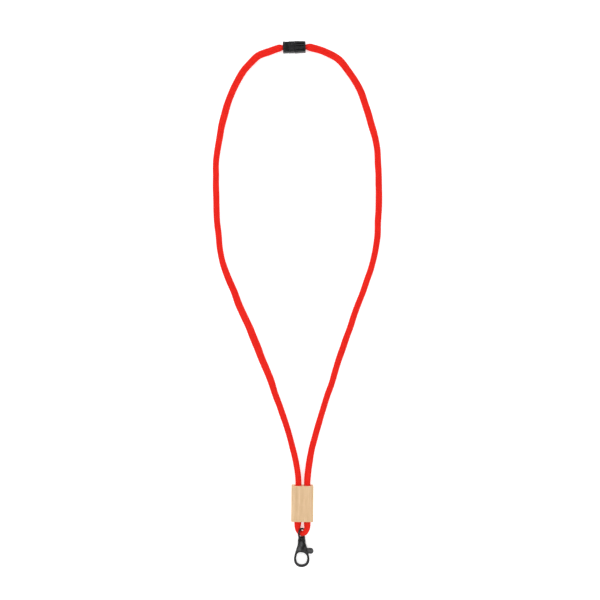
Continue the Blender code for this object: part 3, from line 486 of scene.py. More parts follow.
# ---- materials
class Shader:
    """A Principled material whose nodes are added one by one, each call giving the node's output."""

    def __init__(self, name):
        self.material = bpy.data.materials.new(name)
        self.material.use_nodes = True
        self.tree = self.material.node_tree
        self.principled = self.tree.nodes["Principled BSDF"]

    def set(self, socket, value):
        target = self.principled.inputs[socket]
        if isinstance(value, bpy.types.NodeSocket):
            self.tree.links.new(value, target)
        else:
            target.default_value = value

    def node(self, kind, output, settings=(), **inputs):
        """A node of this kind. settings are its own choices; inputs its sockets, by name or number."""
        node = self.tree.nodes.new(kind)
        for key, value in dict(settings).items():
            setattr(node, key, value)
        for key, value in inputs.items():
            socket = node.inputs[int(key[1:]) if key[1:].isdigit() else key.replace("_", " ")]
            if isinstance(value, bpy.types.NodeSocket):
                self.tree.links.new(value, socket)
            else:
                socket.default_value = value
        return node.outputs[output]

    def attribute(self, name, output="Fac"):
        return self.node("ShaderNodeAttribute", output, {"attribute_name": name})

    def place(self, scale=(1.0, 1.0, 1.0)):
        """Object coordinates, which are the row frame's metres, scaled along each axis."""
        coordinate = self.node("ShaderNodeTexCoord", "Object")
        return self.node("ShaderNodeMapping", "Vector", Vector=coordinate, Scale=scale)

    def noise(self, vector, scale, detail=3.0, roughness=0.55):
        return self.node(
            "ShaderNodeTexNoise", "Fac", Vector=vector, Scale=scale, Detail=detail, Roughness=roughness
        )

    def math(self, operation, first, second=0.0):
        return self.node("ShaderNodeMath", "Value", {"operation": operation}, i0=first, i1=second)

    def span(self, value, low, high, to_low=0.0, to_high=1.0):
        limits = {"From_Min": low, "From_Max": high, "To_Min": to_low, "To_Max": to_high}
        return self.node("ShaderNodeMapRange", "Result", Value=value, **limits)

    def blend(self, share, first, second):
        """A colour from first to second. A colour is an output or (red, green, blue)."""
        one, two = (c if isinstance(c, bpy.types.NodeSocket) else (*c, 1.0) for c in (first, second))
        return self.node("ShaderNodeMix", 2, {"data_type": "RGBA"}, Factor=share, i6=one, i7=two)

    def worn_edges_and_painted_highlight(self, patch):
        """From 0 to 1 along outward edges, more in some patches than in others: edge wear, and partly a
        painted highlight.
        """
        sharp = self.span(self.attribute("edge"), 0.18, 0.65)
        return self.math("MULTIPLY", sharp, self.span(patch, 0.42, 0.68, 0.0, 0.8))

    def painted_highlight(self, spots, reach, patch):
        """From 0 to 1 near the given spots, fading out at reach: where a highlight is painted."""
        near = 0.0
        for spot in spots:
            away = self.node(
                "ShaderNodeVectorMath", "Value", {"operation": "DISTANCE"}, i0=self.place(), i1=spot
            )
            near = self.math("MAXIMUM", near, self.span(away, reach, 0.15 * reach))
        return self.math("MULTIPLY", near, self.span(patch, 0.35, 0.6, 0.35, 1.0))

    def upright_wall_painted_shade(self):
        """From 0 to 1 where the surface stands upright; there the shine is cut as painted shade."""
        facing = self.node("ShaderNodeTexCoord", "Normal")
        up = self.math("ABSOLUTE", self.node("ShaderNodeSeparateXYZ", "Z", Vector=facing))
        return self.span(up, 0.80, 0.35)

    def hollow_painted_shade(self):
        """From 0 to 1 where the surface bends inwards, in grooves and corners, where shade is painted.
        """
        return self.span(self.attribute("edge"), -0.12, -0.50)

    def bump(self, height, distance, strength):
        return self.node(
            "ShaderNodeBump", "Normal", Height=height, Distance=distance, Strength=strength
        )


def cord_material():
    """Soft polyester yarn: bright red crowns, a deeper red painted between the yarns as shade, and fine
    fibres along each.
    """
    look = Shader("cord_fabric")
    height = look.attribute("height")
    over = look.attribute("first_over")
    fibre_a = look.noise(look.attribute("yarn_a", "Vector"), 5200.0, 2.0)
    fibre_b = look.noise(look.attribute("yarn_b", "Vector"), 5200.0, 2.0)
    fibre = look.node("ShaderNodeMix", 0, {"data_type": "FLOAT"}, Factor=over, i2=fibre_b, i3=fibre_a)
    patch = look.noise(look.place(), 95.0, 2.0)
    # Painted shade: the red darkens where the braid is low, between the yarns.
    crown_over_painted_shade, strand = look.span(height, 0.0, 0.9, 0.30, 1.0), look.span(fibre, 0.3, 0.7, 0.86, 1.0)
    colour = look.blend(look.math("MULTIPLY", crown_over_painted_shade, strand), RED_PAINTED_SHADE, RED_CROWN)
    look.set("Base Color", look.blend(look.span(patch, 0.35, 0.7, 0.0, 0.16), colour, RED_PATCH))
    look.set("Roughness", look.span(fibre, 0.3, 0.7, 0.86, 0.68))
    look.set("Specular IOR Level", 0.12)
    look.set("Sheen Weight", 0.10)
    look.set("Sheen Roughness", 0.45)
    look.set("Sheen Tint", (1.0, 0.25, 0.18, 1.0))
    look.set("Normal", look.bump(fibre, 0.00006, 0.7))
    return look.material


def wood_material():
    """Pale straight-grained wood: soft uneven bands along Y, fine fibres and short dark pores."""
    look = Shader("pale_wood_grain")
    place = look.node("ShaderNodeTexCoord", "Object")
    turned = look.node("ShaderNodeMapping", "Vector", Vector=place, Rotation=WOOD_TURN)
    drawn_out, short = (
        look.node("ShaderNodeMapping", "Vector", Vector=turned, Scale=(1.0, share, 1.0))
        for share in (0.045, 0.16)
    )
    bands = look.noise(drawn_out, 330.0, 2.0)
    streak = look.noise(drawn_out, 1150.0, 3.0, 0.6)
    fibre = look.noise(drawn_out, 4200.0, 3.0)
    pore = look.noise(short, 5200.0, 1.0)
    cloud = look.noise(look.place(), 90.0, 2.0)
    colour = WOOD_PALE
    for pattern, low, high, most, shade in (
        (bands, 0.36, 0.66, 1.0, WOOD_BAND),
        (streak, 0.38, 0.70, 0.60, WOOD_STREAK),
        (fibre, 0.45, 0.75, 0.30, WOOD_FIBRE),
        (pore, 0.66, 0.76, 0.45, WOOD_PORE),
        (cloud, 0.35, 0.7, 0.25, WOOD_CLOUD),
    ):
        colour = look.blend(look.span(pattern, low, high, 0.0, most), colour, shade)
    look.set("Base Color", colour)
    look.set("Roughness", look.span(fibre, 0.3, 0.7, 0.52, 0.68))
    look.set("Specular IOR Level", 0.30)
    height = look.math("ADD", look.math("MULTIPLY", fibre, 0.6), look.math("MULTIPLY", streak, -0.5))
    look.set("Normal", look.bump(height, 0.00005, 0.6))
    return look.material


def black_material(name, kind, spots=(), reach=0.0):
    """A black surface of the given kind: grained, patchy, paler along outward edges, which is wear and
    partly a painted highlight, a painted highlight within reach of the spots, and painted shade: dark
    and dull in grooves and corners, and less shine on its side walls."""
    look = Shader(name)
    grain = look.noise(look.place(), kind["grain"], kind["grain_detail"])
    patch = look.noise(look.place(), kind["patch"], 3.0)
    # Outward edges turn paler: wear, and partly a painted highlight.
    edge_wear_and_highlight = look.worn_edges_and_painted_highlight(patch)
    colour = look.blend(look.span(patch, 0.35, 0.7), kind["dark"], kind["light"])
    colour = look.blend(edge_wear_and_highlight, colour, kind["edge"])
    if spots:
        # Painted highlight: paler patches round the given spots.
        colour = look.blend(look.painted_highlight(spots, reach, patch), colour, kind["painted_highlight"])
    # Painted shade: in grooves and corners the colour turns to the hollow colour and the shine drops.
    hollow = look.hollow_painted_shade()
    look.set("Base Color", look.blend(hollow, colour, kind["hollow"]))
    look.set("Metallic", look.math("MULTIPLY", edge_wear_and_highlight, kind["edge_metal"]))
    rough = look.span(patch, 0.3, 0.7, *kind["rough"])
    look.set("Roughness", look.math("SUBTRACT", rough, look.math("MULTIPLY", edge_wear_and_highlight, kind["edge_polish"])))
    shine = look.span(hollow, 0.0, 1.0, *kind["shine"])
    # Painted shade: upright side walls keep only part of the shine.
    wall_painted_shade = look.span(look.upright_wall_painted_shade(), 0.0, 1.0, 1.0, kind["wall_shine_after_painted_shade"])
    look.set("Specular IOR Level", look.math("MULTIPLY", shine, wall_painted_shade))
    look.set("Coat Weight", kind["coat"])
    look.set("Coat Roughness", 0.10)
    look.set("Normal", look.bump(grain, *kind["relief"]))
    return look.material


def steel_material(name, drawn_scale):
    """Plain steel with fine drawn lines."""
    look = Shader(name)
    lines = look.noise(look.place(drawn_scale), 2600.0, 2.0)
    look.set("Base Color", look.blend(look.span(lines, 0.3, 0.7), STEEL_DARK, STEEL_LIGHT))
    look.set("Metallic", 1.0)
    look.set("Roughness", look.span(lines, 0.3, 0.7, 0.26, 0.42))
    look.set("Normal", look.bump(lines, 0.00002, 0.4))
    return look.material


def floor_material():
    look = Shader("pale_floor")
    look.set("Base Color", (0.88, 0.88, 0.88, 1.0))
    look.set("Roughness", 0.95)
    look.set("Specular IOR Level", 0.0)
    look.set("Emission Color", (1.0, 1.0, 1.0, 1.0))
    away = look.node("ShaderNodeVectorMath", "Value", {"operation": "LENGTH"}, i0=look.place())
    look.set("Emission Strength", look.span(away, *FLOOR_FAR, FLOOR_GLOW, FLOOR_FAR_GLOW))
    return look.material


# ---- solids as distances on a grid
MARGIN_CELLS, MARGIN_POINTS = 2.5, 6  # room round a solid: cells below it, and points in all
SHARP_BEND = 4000.0  # the bend, per metre, of an edge that counts as fully sharp


class Field:
    """A block of grid points. A solid is an array of signed distances over them, negative inside."""

    def __init__(self, low, high, step):
        self.step = step
        self.low = np.array(low) - MARGIN_CELLS * step
        counts = np.ceil((np.array(high) - np.array(low)) / step).astype(int) + MARGIN_POINTS
        axes = [self.low[k] + step * np.arange(counts[k]) for k in range(3)]
        self.x, self.y, self.z = np.meshgrid(*axes, indexing="ij", sparse=True)

    def box(self, low, high, edge):
        """A box between two corners with rounded edges."""
        reach = []
        for value, l, h in zip((self.x, self.y, self.z), low, high):
            reach.append(np.abs(value - (l + h) / 2) - ((h - l) / 2 - edge))
        outside = sum(np.maximum(r, 0.0) ** 2 for r in reach) ** 0.5
        return outside + np.minimum(np.maximum(np.maximum(*reach[:2]), reach[2]), 0.0) - edge

    def plate(self, flat, low, high, edge):
        """A flat outline's distances made thick along z from low to high, with rounded edges."""
        across = flat + edge
        deep = np.abs(self.z - (low + high) / 2) - ((high - low) / 2 - edge)
        outside = np.hypot(np.maximum(across, 0.0), np.maximum(deep, 0.0))
        return outside + np.minimum(np.maximum(across, deep), 0.0) - edge

    def turned(self, profile, axis, centre=(0.0, 0.0)):
        """A solid turned about an axis. profile is (radius, place along the axis) points in order
        round its half section, and centre holds the axis's other two coordinates."""
        along = (self.x, self.y, self.z)["XYZ".index(axis)]
        others = [v for v, name in zip((self.x, self.y, self.z), "XYZ") if name != axis]
        radius = np.hypot(others[0] - centre[0], others[1] - centre[1])
        mirrored = list(profile) + [(-r, a) for r, a in reversed(profile)]
        fine = self.step / 2
        r_axis = np.arange(0.0, float(radius.max()) + 2 * fine, fine)
        a_axis = np.arange(float(along.min()), float(along.max()) + 2 * fine, fine)
        table = polygon_distance(r_axis[:, None], a_axis[None, :], mirrored)
        r_place, a_place = radius / fine, (along - a_axis[0]) / fine
        i, j = np.floor(r_place).astype(int), np.floor(a_place).astype(int)
        u, v = r_place - i, a_place - j
        return (
            table[i, j] * (1 - u) * (1 - v)
            + table[i + 1, j] * u * (1 - v)
            + table[i, j + 1] * (1 - u) * v
            + table[i + 1, j + 1] * u * v
        )

    def bar(self, points, radius):
        """A round bar along a line of points."""
        best = np.inf
        for start, end in zip(points, points[1:]):
            way = np.array(end) - np.array(start)
            off = [value - s for value, s in zip((self.x, self.y, self.z), start)]
            t = sum(o * w for o, w in zip(off, way)) / (way @ way)
            t = np.clip(t, 0.0, 1.0)
            best = np.minimum(best, sum((o - t * w) ** 2 for o, w in zip(off, way)))
        return np.sqrt(best) - radius

    def mould_line(self, solid, width):
        """The solid with a fine raised line round its middle."""
        return solid - MOULD_LINE * np.exp(-((self.z / width) ** 2))


def polygon_distance(x, y, outline):
    """Signed distance to a closed outline in its plane, negative inside."""
    best = np.full(np.broadcast(x, y).shape, np.inf)
    inside = np.zeros(best.shape, bool)
    for (x0, y0), (x1, y1) in zip(outline, list(outline[1:]) + [outline[0]]):
        ex, ey = x1 - x0, y1 - y0
        if ex == 0 and ey == 0:
            continue
        wx, wy = x - x0, y - y0
        t = np.clip((wx * ex + wy * ey) / (ex * ex + ey * ey), 0.0, 1.0)
        best = np.minimum(best, (wx - t * ex) ** 2 + (wy - t * ey) ** 2)
        if ey:
            inside ^= ((y0 > y) != (y1 > y)) & (x < x0 + wy * ex / ey)
    return np.where(inside, -1.0, 1.0) * np.sqrt(best)


def joined(first, second, fillet=0.0):
    """Two solids as one, with a fillet where they meet."""
    if not fillet:
        return np.minimum(first, second)
    share = np.clip(0.5 + 0.5 * (second - first) / fillet, 0.0, 1.0)
    return second + (first - second) * share - fillet * share * (1 - share)


def common(first, second, edge=0.0):
    return -joined(-first, -second, edge)


def cut(solid, tool, edge=0.0):
    """The solid without the tool, with the new edges eased."""
    return -joined(-solid, tool, edge)


def smooth_loop(points, per_span):
    """A closed smooth line through the points."""
    found = []
    points = np.array(points)
    for i in range(len(points)):
        before, here, there, after = (points[(i + k) % len(points)] for k in (-1, 0, 1, 2))
        for step in range(per_span):
            t = step / per_span
            found.append(tuple(hermite(here, there, (there - before) / 2, (after - here) / 2, t)))
    return found


def arc(centre, radius, start_deg, end_deg, steps):
    turns = np.radians(np.linspace(start_deg, end_deg, steps + 1))
    return [(centre[0] + radius * math.cos(t), centre[1] + radius * math.sin(t)) for t in turns]


def surface_mesh(name, field, solid, matrix):
    """The solid's surface as a mesh in the row frame, one point for each grid cell it passes through.
    Each point also keeps how sharply the surface bends outwards there, as the attribute edge."""
    solid = np.broadcast_to(solid, np.broadcast(field.x, field.y, field.z).shape)
    inside = solid < 0
    cell_shape = [n - 1 for n in solid.shape]
    full = sum(
        inside[a : a + cell_shape[0], b : b + cell_shape[1], c : c + cell_shape[2]].astype(np.int8)
        for a in (0, 1)
        for b in (0, 1)
        for c in (0, 1)
    )
    cells = np.argwhere((full > 0) & (full < 8))
    number = np.full(cell_shape, -1)
    number[tuple(cells.T)] = np.arange(len(cells))
    total, crossings = np.zeros((len(cells), 3)), np.zeros(len(cells))
    for axis in range(3):
        others = [k for k in range(3) if k != axis]
        for first in (0, 1):
            for second in (0, 1):
                start = np.zeros(3, int)
                start[others[0]], start[others[1]] = first, second
                end = start.copy()
                end[axis] = 1
                low, high = solid[tuple((cells + start).T)], solid[tuple((cells + end).T)]
                crossed = (low < 0) != (high < 0)
                place = np.repeat(start[None, :].astype(float), len(cells), 0)
                place[:, axis] = np.where(crossed, low / np.where(crossed, low - high, 1.0), 0.0)
                total[crossed] += place[crossed]
                crossings += crossed
    points = field.low + field.step * (cells + total / crossings[:, None])

    quads = []
    for axis in range(3):
        one, two = (axis + 1) % 3, (axis + 2) % 3
        before = np.take(inside, range(solid.shape[axis] - 1), axis)
        after = np.take(inside, range(1, solid.shape[axis]), axis)
        edges = np.argwhere(before != after)
        step_one, step_two = np.zeros(3, int), np.zeros(3, int)
        step_one[one] = step_two[two] = 1
        ring = [edges - step_one - step_two, edges - step_two, edges, edges - step_one]
        quad = np.stack([number[tuple(r.T)] for r in ring], axis=1)
        outward = before[tuple(edges.T)]
        quads.append(np.where(outward[:, None], quad, quad[:, ::-1]))
    quads = np.concatenate(quads)

    bend = -6.0 * solid[tuple((cells).T)]
    for axis in range(3):
        for way in (-1, 1):
            near = cells.copy()
            near[:, axis] = np.clip(near[:, axis] + way, 0, solid.shape[axis] - 1)
            bend += solid[tuple(near.T)]
    mesh = bpy.data.meshes.new(name)
    mesh.vertices.add(len(points))
    mesh.vertices.foreach_set("co", points.astype(np.float32).ravel())
    mesh.loops.add(quads.size)
    mesh.loops.foreach_set("vertex_index", quads.astype(np.int32).ravel())
    mesh.polygons.add(len(quads))
    mesh.polygons.foreach_set("loop_start", np.arange(0, quads.size, 4, dtype=np.int32))
    mesh.update(calc_edges=True)
    mesh.transform(matrix)
    mesh.shade_smooth()
    sharp = np.clip(bend / field.step**2 / SHARP_BEND, -1, 1)
    put_attribute(mesh, "edge", "FLOAT", sharp.reshape(-1, 1))
    return mesh


def stepped(radii, places):
    """Half the outline of a turned shape that has each radius between two of the places in turn."""
    line = [(0.0, places[0])]
    for radius, start, end in zip(radii, places, places[1:]):
        line += [(radius, start), (radius, end)]
    return line + [(0.0, places[-1])]


def both_ends(half):
    """The outline of a turned shape whose two ends are alike, from one end's (radius, place)."""
    return half + [(radius, -place) for radius, place in reversed(half)]


# ---- breakaway clasp
def clasp_matrix():
    return Matrix.Translation(CLASP_CENTRE) @ Matrix.Rotation(CLASP_TILT, 4, "Z")


def tapered(field, low_x, high_x, low_half, high_half):
    """Height of a half of the clasp above its middle line, from low_half at low_x to high_half."""
    share = (field.x - low_x) / (high_x - low_x)
    return np.abs(field.y) - (low_half + (high_half - low_half) * share)


def clasp_box(field, low_x, high_x, half_height, half_thick, edge):
    """A box about the clasp's middle line."""
    return field.box((low_x, -half_height, -half_thick), (high_x, half_height, half_thick), edge)


def build_socket_half():
    low = (SEAM_X, -SOCKET_HALF_HEIGHT - 0.00015, -CLASP_HALF_THICK)
    field = Field(low, (CLASP_HALF_LENGTH, -low[1], CLASP_HALF_THICK), GRID["socket"])
    sides = tapered(field, SEAM_X, CLASP_HALF_LENGTH, SOCKET_HALF_HEIGHT, SOCKET_END_HALF_HEIGHT)
    slab = clasp_box(
        field, SEAM_X - 2 * BEYOND, CLASP_HALF_LENGTH, 10 * BEYOND, CLASP_HALF_THICK, CLASP_EDGE
    )
    half = common(slab, sides, CLASP_EDGE)
    half = field.mould_line(half, MOULD_LINE_WIDTH)
    half = common(half, SEAM_X - field.x, SEAM_EDGE)
    for y in GROOVE_ROWS:
        for side in (-1, 1):
            z = side * (CLASP_HALF_THICK + GROOVE_RISE)
            groove = field.bar([(GROOVE_X[0], y, z), (GROOVE_X[1], y, z)], GROOVE_RADIUS)
            half = cut(half, groove, MOULD_EASE)
    cavity = clasp_box(
        field, SEAM_X - BEYOND, CAVITY_END_X, CAVITY_HALF_HEIGHT, CAVITY_HALF_THICK, CAVITY_EDGE
    )
    half = cut(half, cavity, MOULD_EASE)
    places = (CAVITY_END_X - BEYOND, CHAMBER_END_X, CLASP_HALF_LENGTH - LIP_FLARE)
    hollow = stepped((CHAMBER_RADIUS, LIP_RADIUS), places)[:-1]
    end = CLASP_HALF_LENGTH + LIP_FLARE
    hollow += [(LIP_RADIUS + 2 * LIP_FLARE, end), (0.0, end)]
    half = cut(half, field.turned(hollow, "X"), MOULD_EASE)
    place_clasp_solid("socket_shell", field, half, "loop", "socket_half")


def build_plug_half():
    left_x, right_x = CAP_RIGHT_X + CAP_GAP, SEAM_X - SEAM_GAP
    low = (left_x, -PLUG_HALF_HEIGHT - THIN_EDGE, -CLASP_HALF_THICK)
    field = Field(low, (PRONG_END_X, -low[1], CLASP_HALF_THICK + 0.0004), GRID["plug"])
    half = clasp_box(
        field, left_x - 2 * BEYOND, right_x + 2 * BEYOND, PLUG_HALF_HEIGHT, CLASP_HALF_THICK, CLASP_EDGE
    )
    half = field.mould_line(half, MOULD_LINE_WIDTH)
    half = common(half, field.x - right_x, SEAM_EDGE)
    half = common(half, left_x - field.x, SEAM_EDGE)
    waist_length = WAIST_X[1] - WAIST_X[0]
    ribs = 0.5 - 0.5 * np.cos(math.tau * WAIST_RIBS * (field.x - WAIST_X[0]) / waist_length)
    sides = (PLUG_HALF_HEIGHT - WAIST_DEPTH, CLASP_HALF_THICK - WAIST_DEPTH)
    core = clasp_box(field, WAIST_X[0] - 10 * BEYOND, WAIST_X[1] + 10 * BEYOND, *sides, CLASP_EDGE)
    core = core - RIB_HEIGHT * ribs
    band = np.abs(field.x - sum(WAIST_X) / 2) - waist_length / 2
    half = cut(half, common(band, -core), MOULD_EASE)
    ball = (DOME_RADIUS**2 + DOME_HEIGHT**2) / (2 * DOME_HEIGHT)
    for side in (-1, 1):
        away = (field.x - DOME_X) ** 2 + (field.y - side * DOME_Y) ** 2
        dome = np.sqrt(away + (field.z - (CLASP_HALF_THICK + DOME_HEIGHT - ball)) ** 2) - ball
        half = joined(half, common(dome, CLASP_HALF_THICK - BEYOND - field.z), MOULD_EASE)
    for side in (-1, 1):
        y = sorted((side * PRONG_Y[0], side * PRONG_Y[1]))
        low, high = zip((right_x - BEYOND, PRONG_END_X), y, (-PRONG_HALF_THICK, PRONG_HALF_THICK))
        half = joined(half, field.box(low, high, PRONG_EDGE), PRONG_FILLET)
        y = sorted((side * (PRONG_Y[1] - BARB_ROOT), side * (PRONG_Y[1] + BARB_PROUD)))
        low, high = zip(BARB_X, y, (-BARB_HALF_THICK, BARB_HALF_THICK))
        half = joined(half, field.box(low, high, BARB_PROUD), THIN_EDGE)
    hollow = stepped(
        (COUNTERBORE_RADIUS, LIP_RADIUS, CHAMBER_RADIUS),
        (PLUG_LEFT_X - BEYOND, PLUG_LEFT_X + COUNTERBORE_DEPTH, PLUG_CHAMBER_X, right_x + BEYOND),
    )
    half = cut(half, field.turned(hollow, "X"), THIN_EDGE)
    low_x = right_x - RIM_ROOT
    rim = clasp_box(field, low_x, RIM_END_X, RIM_HALF_HEIGHT, RIM_HALF_THICK, THIN_EDGE)
    sides = (RIM_HALF_HEIGHT - RIM_WALL, RIM_HALF_THICK - RIM_WALL)
    room = clasp_box(field, low_x - BEYOND, RIM_END_X + BEYOND, *sides, THIN_EDGE)
    half = joined(half, cut(rim, room))
    place_clasp_solid("plug_shell", field, half, "plug", "plug_half")


def build_plug_cap():
    low = (-CLASP_HALF_LENGTH, -PLUG_HALF_HEIGHT - THIN_EDGE, -CLASP_HALF_THICK)
    field = Field(low, (CAP_RIGHT_X + 0.00105, -low[1], CLASP_HALF_THICK), GRID["cap"])
    cap = clasp_box(
        field, -CLASP_HALF_LENGTH, CAP_RIGHT_X, PLUG_HALF_HEIGHT, CLASP_HALF_THICK, CAP_EDGE
    )
    spigot_end = CAP_RIGHT_X + SPIGOT_LENGTH
    spigot = stepped((SPIGOT_RADIUS,), (SPIGOT_ROOT - CLASP_HALF_LENGTH, spigot_end))
    cap = joined(cap, field.turned(spigot, "X"), CAST_EASE)
    hole = [
        (0.0, -CLASP_HALF_LENGTH - LIP_FLARE),
        (LIP_RADIUS + 2 * LIP_FLARE, -CLASP_HALF_LENGTH - LIP_FLARE),
        (LIP_RADIUS, -CLASP_HALF_LENGTH + LIP_FLARE),
        (LIP_RADIUS, spigot_end + BEYOND),
        (0.0, spigot_end + BEYOND),
    ]
    cap = cut(cap, field.turned(hole, "X"), MOULD_EASE)
    place_clasp_solid("plug_cap_shell", field, cap, "plug", "plug_cap")


# ---- wood block
def build_wood_block():
    half = [s / 2 for s in BLOCK_SIZE]
    field = Field([-h for h in half], half, GRID["block"])
    block = field.box([-h for h in half], half, BLOCK_EDGE)
    across = field.x * math.cos(GRAIN_LEAN) + field.z * math.sin(GRAIN_LEAN)
    wander = sum(size * np.sin(field.y * waves + phase) for size, waves, phase in GRAIN_WANDER)
    grain = sum(
        size * np.sin((across + way * wander) * waves + phase)
        for way, (size, waves, phase) in zip((1, -1), GRAIN_WAVES)
    )
    block = block + GRAIN_RELIEF * grain
    for x in BORE_X:
        end = half[1] + BORE_MOUTH
        bore = [(0.0, end), (BORE_RADIUS + 2 * BORE_MOUTH, end), (BORE_RADIUS, half[1] - BORE_MOUTH)]
        block = cut(block, field.turned(both_ends(bore), "Y", (x, 0.0)), BORE_EDGE)
    matrix = Matrix.Translation(BLOCK_CENTRE) @ Matrix.Rotation(BLOCK_TILT, 4, "Z")
    place_solid(
        "wood_block_grained", field, block, matrix, WOOD_MATERIAL, "block", "wood_block"
    )


# ---- swivel hook
def hook_matrix():
    return Matrix.Translation(EYE_CENTRE) @ Matrix.Rotation(HOOK_TILT, 4, "X")


def build_swivel_eye():
    field = Field((-0.0038, -0.0115, -0.0038), (0.0038, 0.0056, 0.0038), GRID["eye"])
    line = []
    for turn in np.linspace(0.0, math.tau, 49):
        flat = EYE_RX * math.cos(turn)
        line.append((flat * math.cos(EYE_TURN), EYE_RY * math.sin(turn), -flat * math.sin(EYE_TURN)))
    eye = common(field.bar(line, EYE_BAR_RADIUS), COLLAR_Y[1] + EYE_FOOT - field.y)
    stem = [
        (0.0, COLLAR_Y[0] + 0.0003),
        (COLLAR_RADIUS - 0.0012, COLLAR_Y[0] + 0.0001),
        (COLLAR_RADIUS, COLLAR_Y[0] - 0.0006),
        (COLLAR_RADIUS, COLLAR_Y[1] + TURNED_EDGE),
        (COLLAR_RADIUS - TURNED_EDGE, COLLAR_Y[1]),
        (STEM_RADIUS, COLLAR_Y[1]),
        (STEM_RADIUS, HEAD_Y[0]),
        (HEAD_RADIUS, HEAD_Y[0]),
        (HEAD_RADIUS, HEAD_Y[1] + TURNED_EDGE),
        (HEAD_RADIUS - TURNED_EDGE, HEAD_Y[1]),
        (0.0, HEAD_Y[1]),
    ]
    eye = joined(eye, field.turned(stem, "Y"), EYE_FILLET)
    place_hook_solid("swivel_eye_cast", field, eye, EYE_MATERIAL, "eye", "swivel_eye")


def flat_distance(field, line):
    """Distances from a closed line in the plane of the hook's ring."""
    return polygon_distance(field.x[:, :, 0], field.y[:, :, 0], line)[:, :, None]


def hook_plate(field):
    """The flat body and ring of the hook, whole, before the gate is divided from it."""
    outline, hole = (flat_distance(field, smooth_loop(line, 8)) for line in (HOOK_OUTLINE, RING_HOLE))
    return field.plate(cut(outline, hole), -HOOK_HALF_THICK, HOOK_HALF_THICK, HOOK_EDGE)


def pin_hole(field):
    return np.hypot(field.x - PIVOT[0], field.y - PIVOT[1]) - PIN_BORE_RADIUS - BORE_EASE


def gate_place(field, radius, top, inset):
    """Distances of the gate's place: right of a circle about the pivot, below top, above the tip of
    the claw. inset draws the slanted seat back, which is the gap to the claw."""
    outer, inner = np.array(TIP_OUTER), np.array(TIP_INNER)
    along = (inner - outer) / np.linalg.norm(inner - outer)
    normal = np.array((-along[1], along[0]))
    normal *= math.copysign(1.0, normal[1])
    outer = outer - along * 0.003 + normal * inset
    inner = inner + along * 0.0006 + normal * inset
    start = math.degrees(math.asin((top - PIVOT[1]) / radius))
    line = arc(PIVOT, radius, start, -92, 40)
    line += [RING_MIDDLE, tuple(inner), tuple(outer), (outer[0] + 0.002, top)]
    return flat_distance(field, line)


def build_hook_body():
    field = Field((-0.0078, -0.0327, -0.0040), (0.0078, -0.0059, 0.0040), GRID["body"])
    body = hook_plate(field)
    barrel = [
        (0.0, BARREL_TOP_Y),
        (BARREL_RADIUS - TURNED_EDGE, BARREL_TOP_Y),
        (BARREL_RADIUS, BARREL_TOP_Y - TURNED_EDGE),
        *BARREL_CONE,
    ]
    body = joined(body, field.turned(barrel, "Y"), HOOK_FILLET)
    body = field.mould_line(body, CAST_LINE_WIDTH)
    body = cut(body, gate_place(field, CHEEK_RADIUS, GATE_TOP_Y + GAP, 0.0), GATE_EDGE)
    low, high = zip(SLOT_X, SLOT_Y, (-SLOT_HALF_THICK, SLOT_HALF_THICK))
    body = cut(body, field.box(low, high, GATE_EDGE), CAST_EASE)
    radii = (STEM_BORE_RADIUS, HEAD_CHAMBER_RADIUS)
    hollow = stepped(radii, (BARREL_TOP_Y + BEYOND, *HEAD_CHAMBER_Y))
    body = cut(body, field.turned(hollow, "Y"), CAST_EASE)
    body = cut(body, pin_hole(field), THIN_EDGE)
    place_hook_solid("hook_body_cast", field, body, HOOK_MATERIAL, "hook", "hook_body")


def build_gate():
    field = Field((-0.0012, -0.0288, -0.0023), (0.0114, -0.0124, 0.0023), GRID["gate"])
    arm = common(hook_plate(field), gate_place(field, GATE_RADIUS, GATE_TOP_Y, GAP), GATE_EDGE)
    centre_x = TAB_END_X - TAB_HALF_WIDTH
    tab_line = arc((centre_x, TAB_CENTRE_Y), TAB_HALF_WIDTH, -90, 90, 30)
    tab_line += [
        (PIVOT[0] + GATE_RADIUS + TAB_SPREAD, GATE_TOP_Y),
        (PIVOT[0] + GATE_RADIUS - TAB_SPREAD, TAB_CENTRE_Y - TAB_HALF_WIDTH + 0.0006),
    ]
    tab = field.plate(flat_distance(field, tab_line), -TAB_HALF_THICK, TAB_HALF_THICK, TAB_EDGE)
    away = np.hypot(field.x - centre_x, field.y - TAB_CENTRE_Y) / TAB_HALF_WIDTH
    tab = tab + DISH_DEPTH * np.exp(-((away / DISH_REACH) ** 2)) * (np.abs(field.z) > TAB_HALF_THICK / 2)
    gate = joined(arm, tab, TAB_EDGE)
    tongue_line = arc(PIVOT, TONGUE_RADIUS, 75, 250, 30)
    tongue_line += arc(PIVOT, GATE_RADIUS + TONGUE_ROOT, -72, 8, 20)
    tongue = field.plate(flat_distance(field, tongue_line), *TONGUE_Z, THIN_EDGE)
    gate = cut(joined(gate, tongue, THIN_EDGE), pin_hole(field), THIN_EDGE)
    place_hook_solid("gate_cast", field, gate, GATE_MATERIAL, "gate", "gate")


def build_gate_pin():
    shoulder = HOOK_HALF_THICK + PIN_HEAD_GAP
    end = shoulder + PIN_HEAD_HEIGHT
    low, high = ([middle + side * PIN_ROOM for middle in PIVOT] for side in (-1, 1))
    field = Field((*low, -end), (*high, end), GRID["pin"])
    half = [(PIN_HEAD_RADIUS * part, end - drop) for part, drop in PIN_HEAD_ROUND]
    half += [(PIN_HEAD_RADIUS, shoulder), (PIN_RADIUS, shoulder)]
    pin = field.turned(both_ends(half), "Z", PIVOT)
    place_hook_solid("gate_rivet", field, pin, EYE_MATERIAL, "hook", "gate_pin")


def place_solid(name, field, solid, matrix, material, body, node):
    """A finished solid that rides on a body and stands for a CAD node."""
    piece = add_piece(name, surface_mesh(name, field, solid, matrix), material)
    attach(piece, body)
    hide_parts(node)


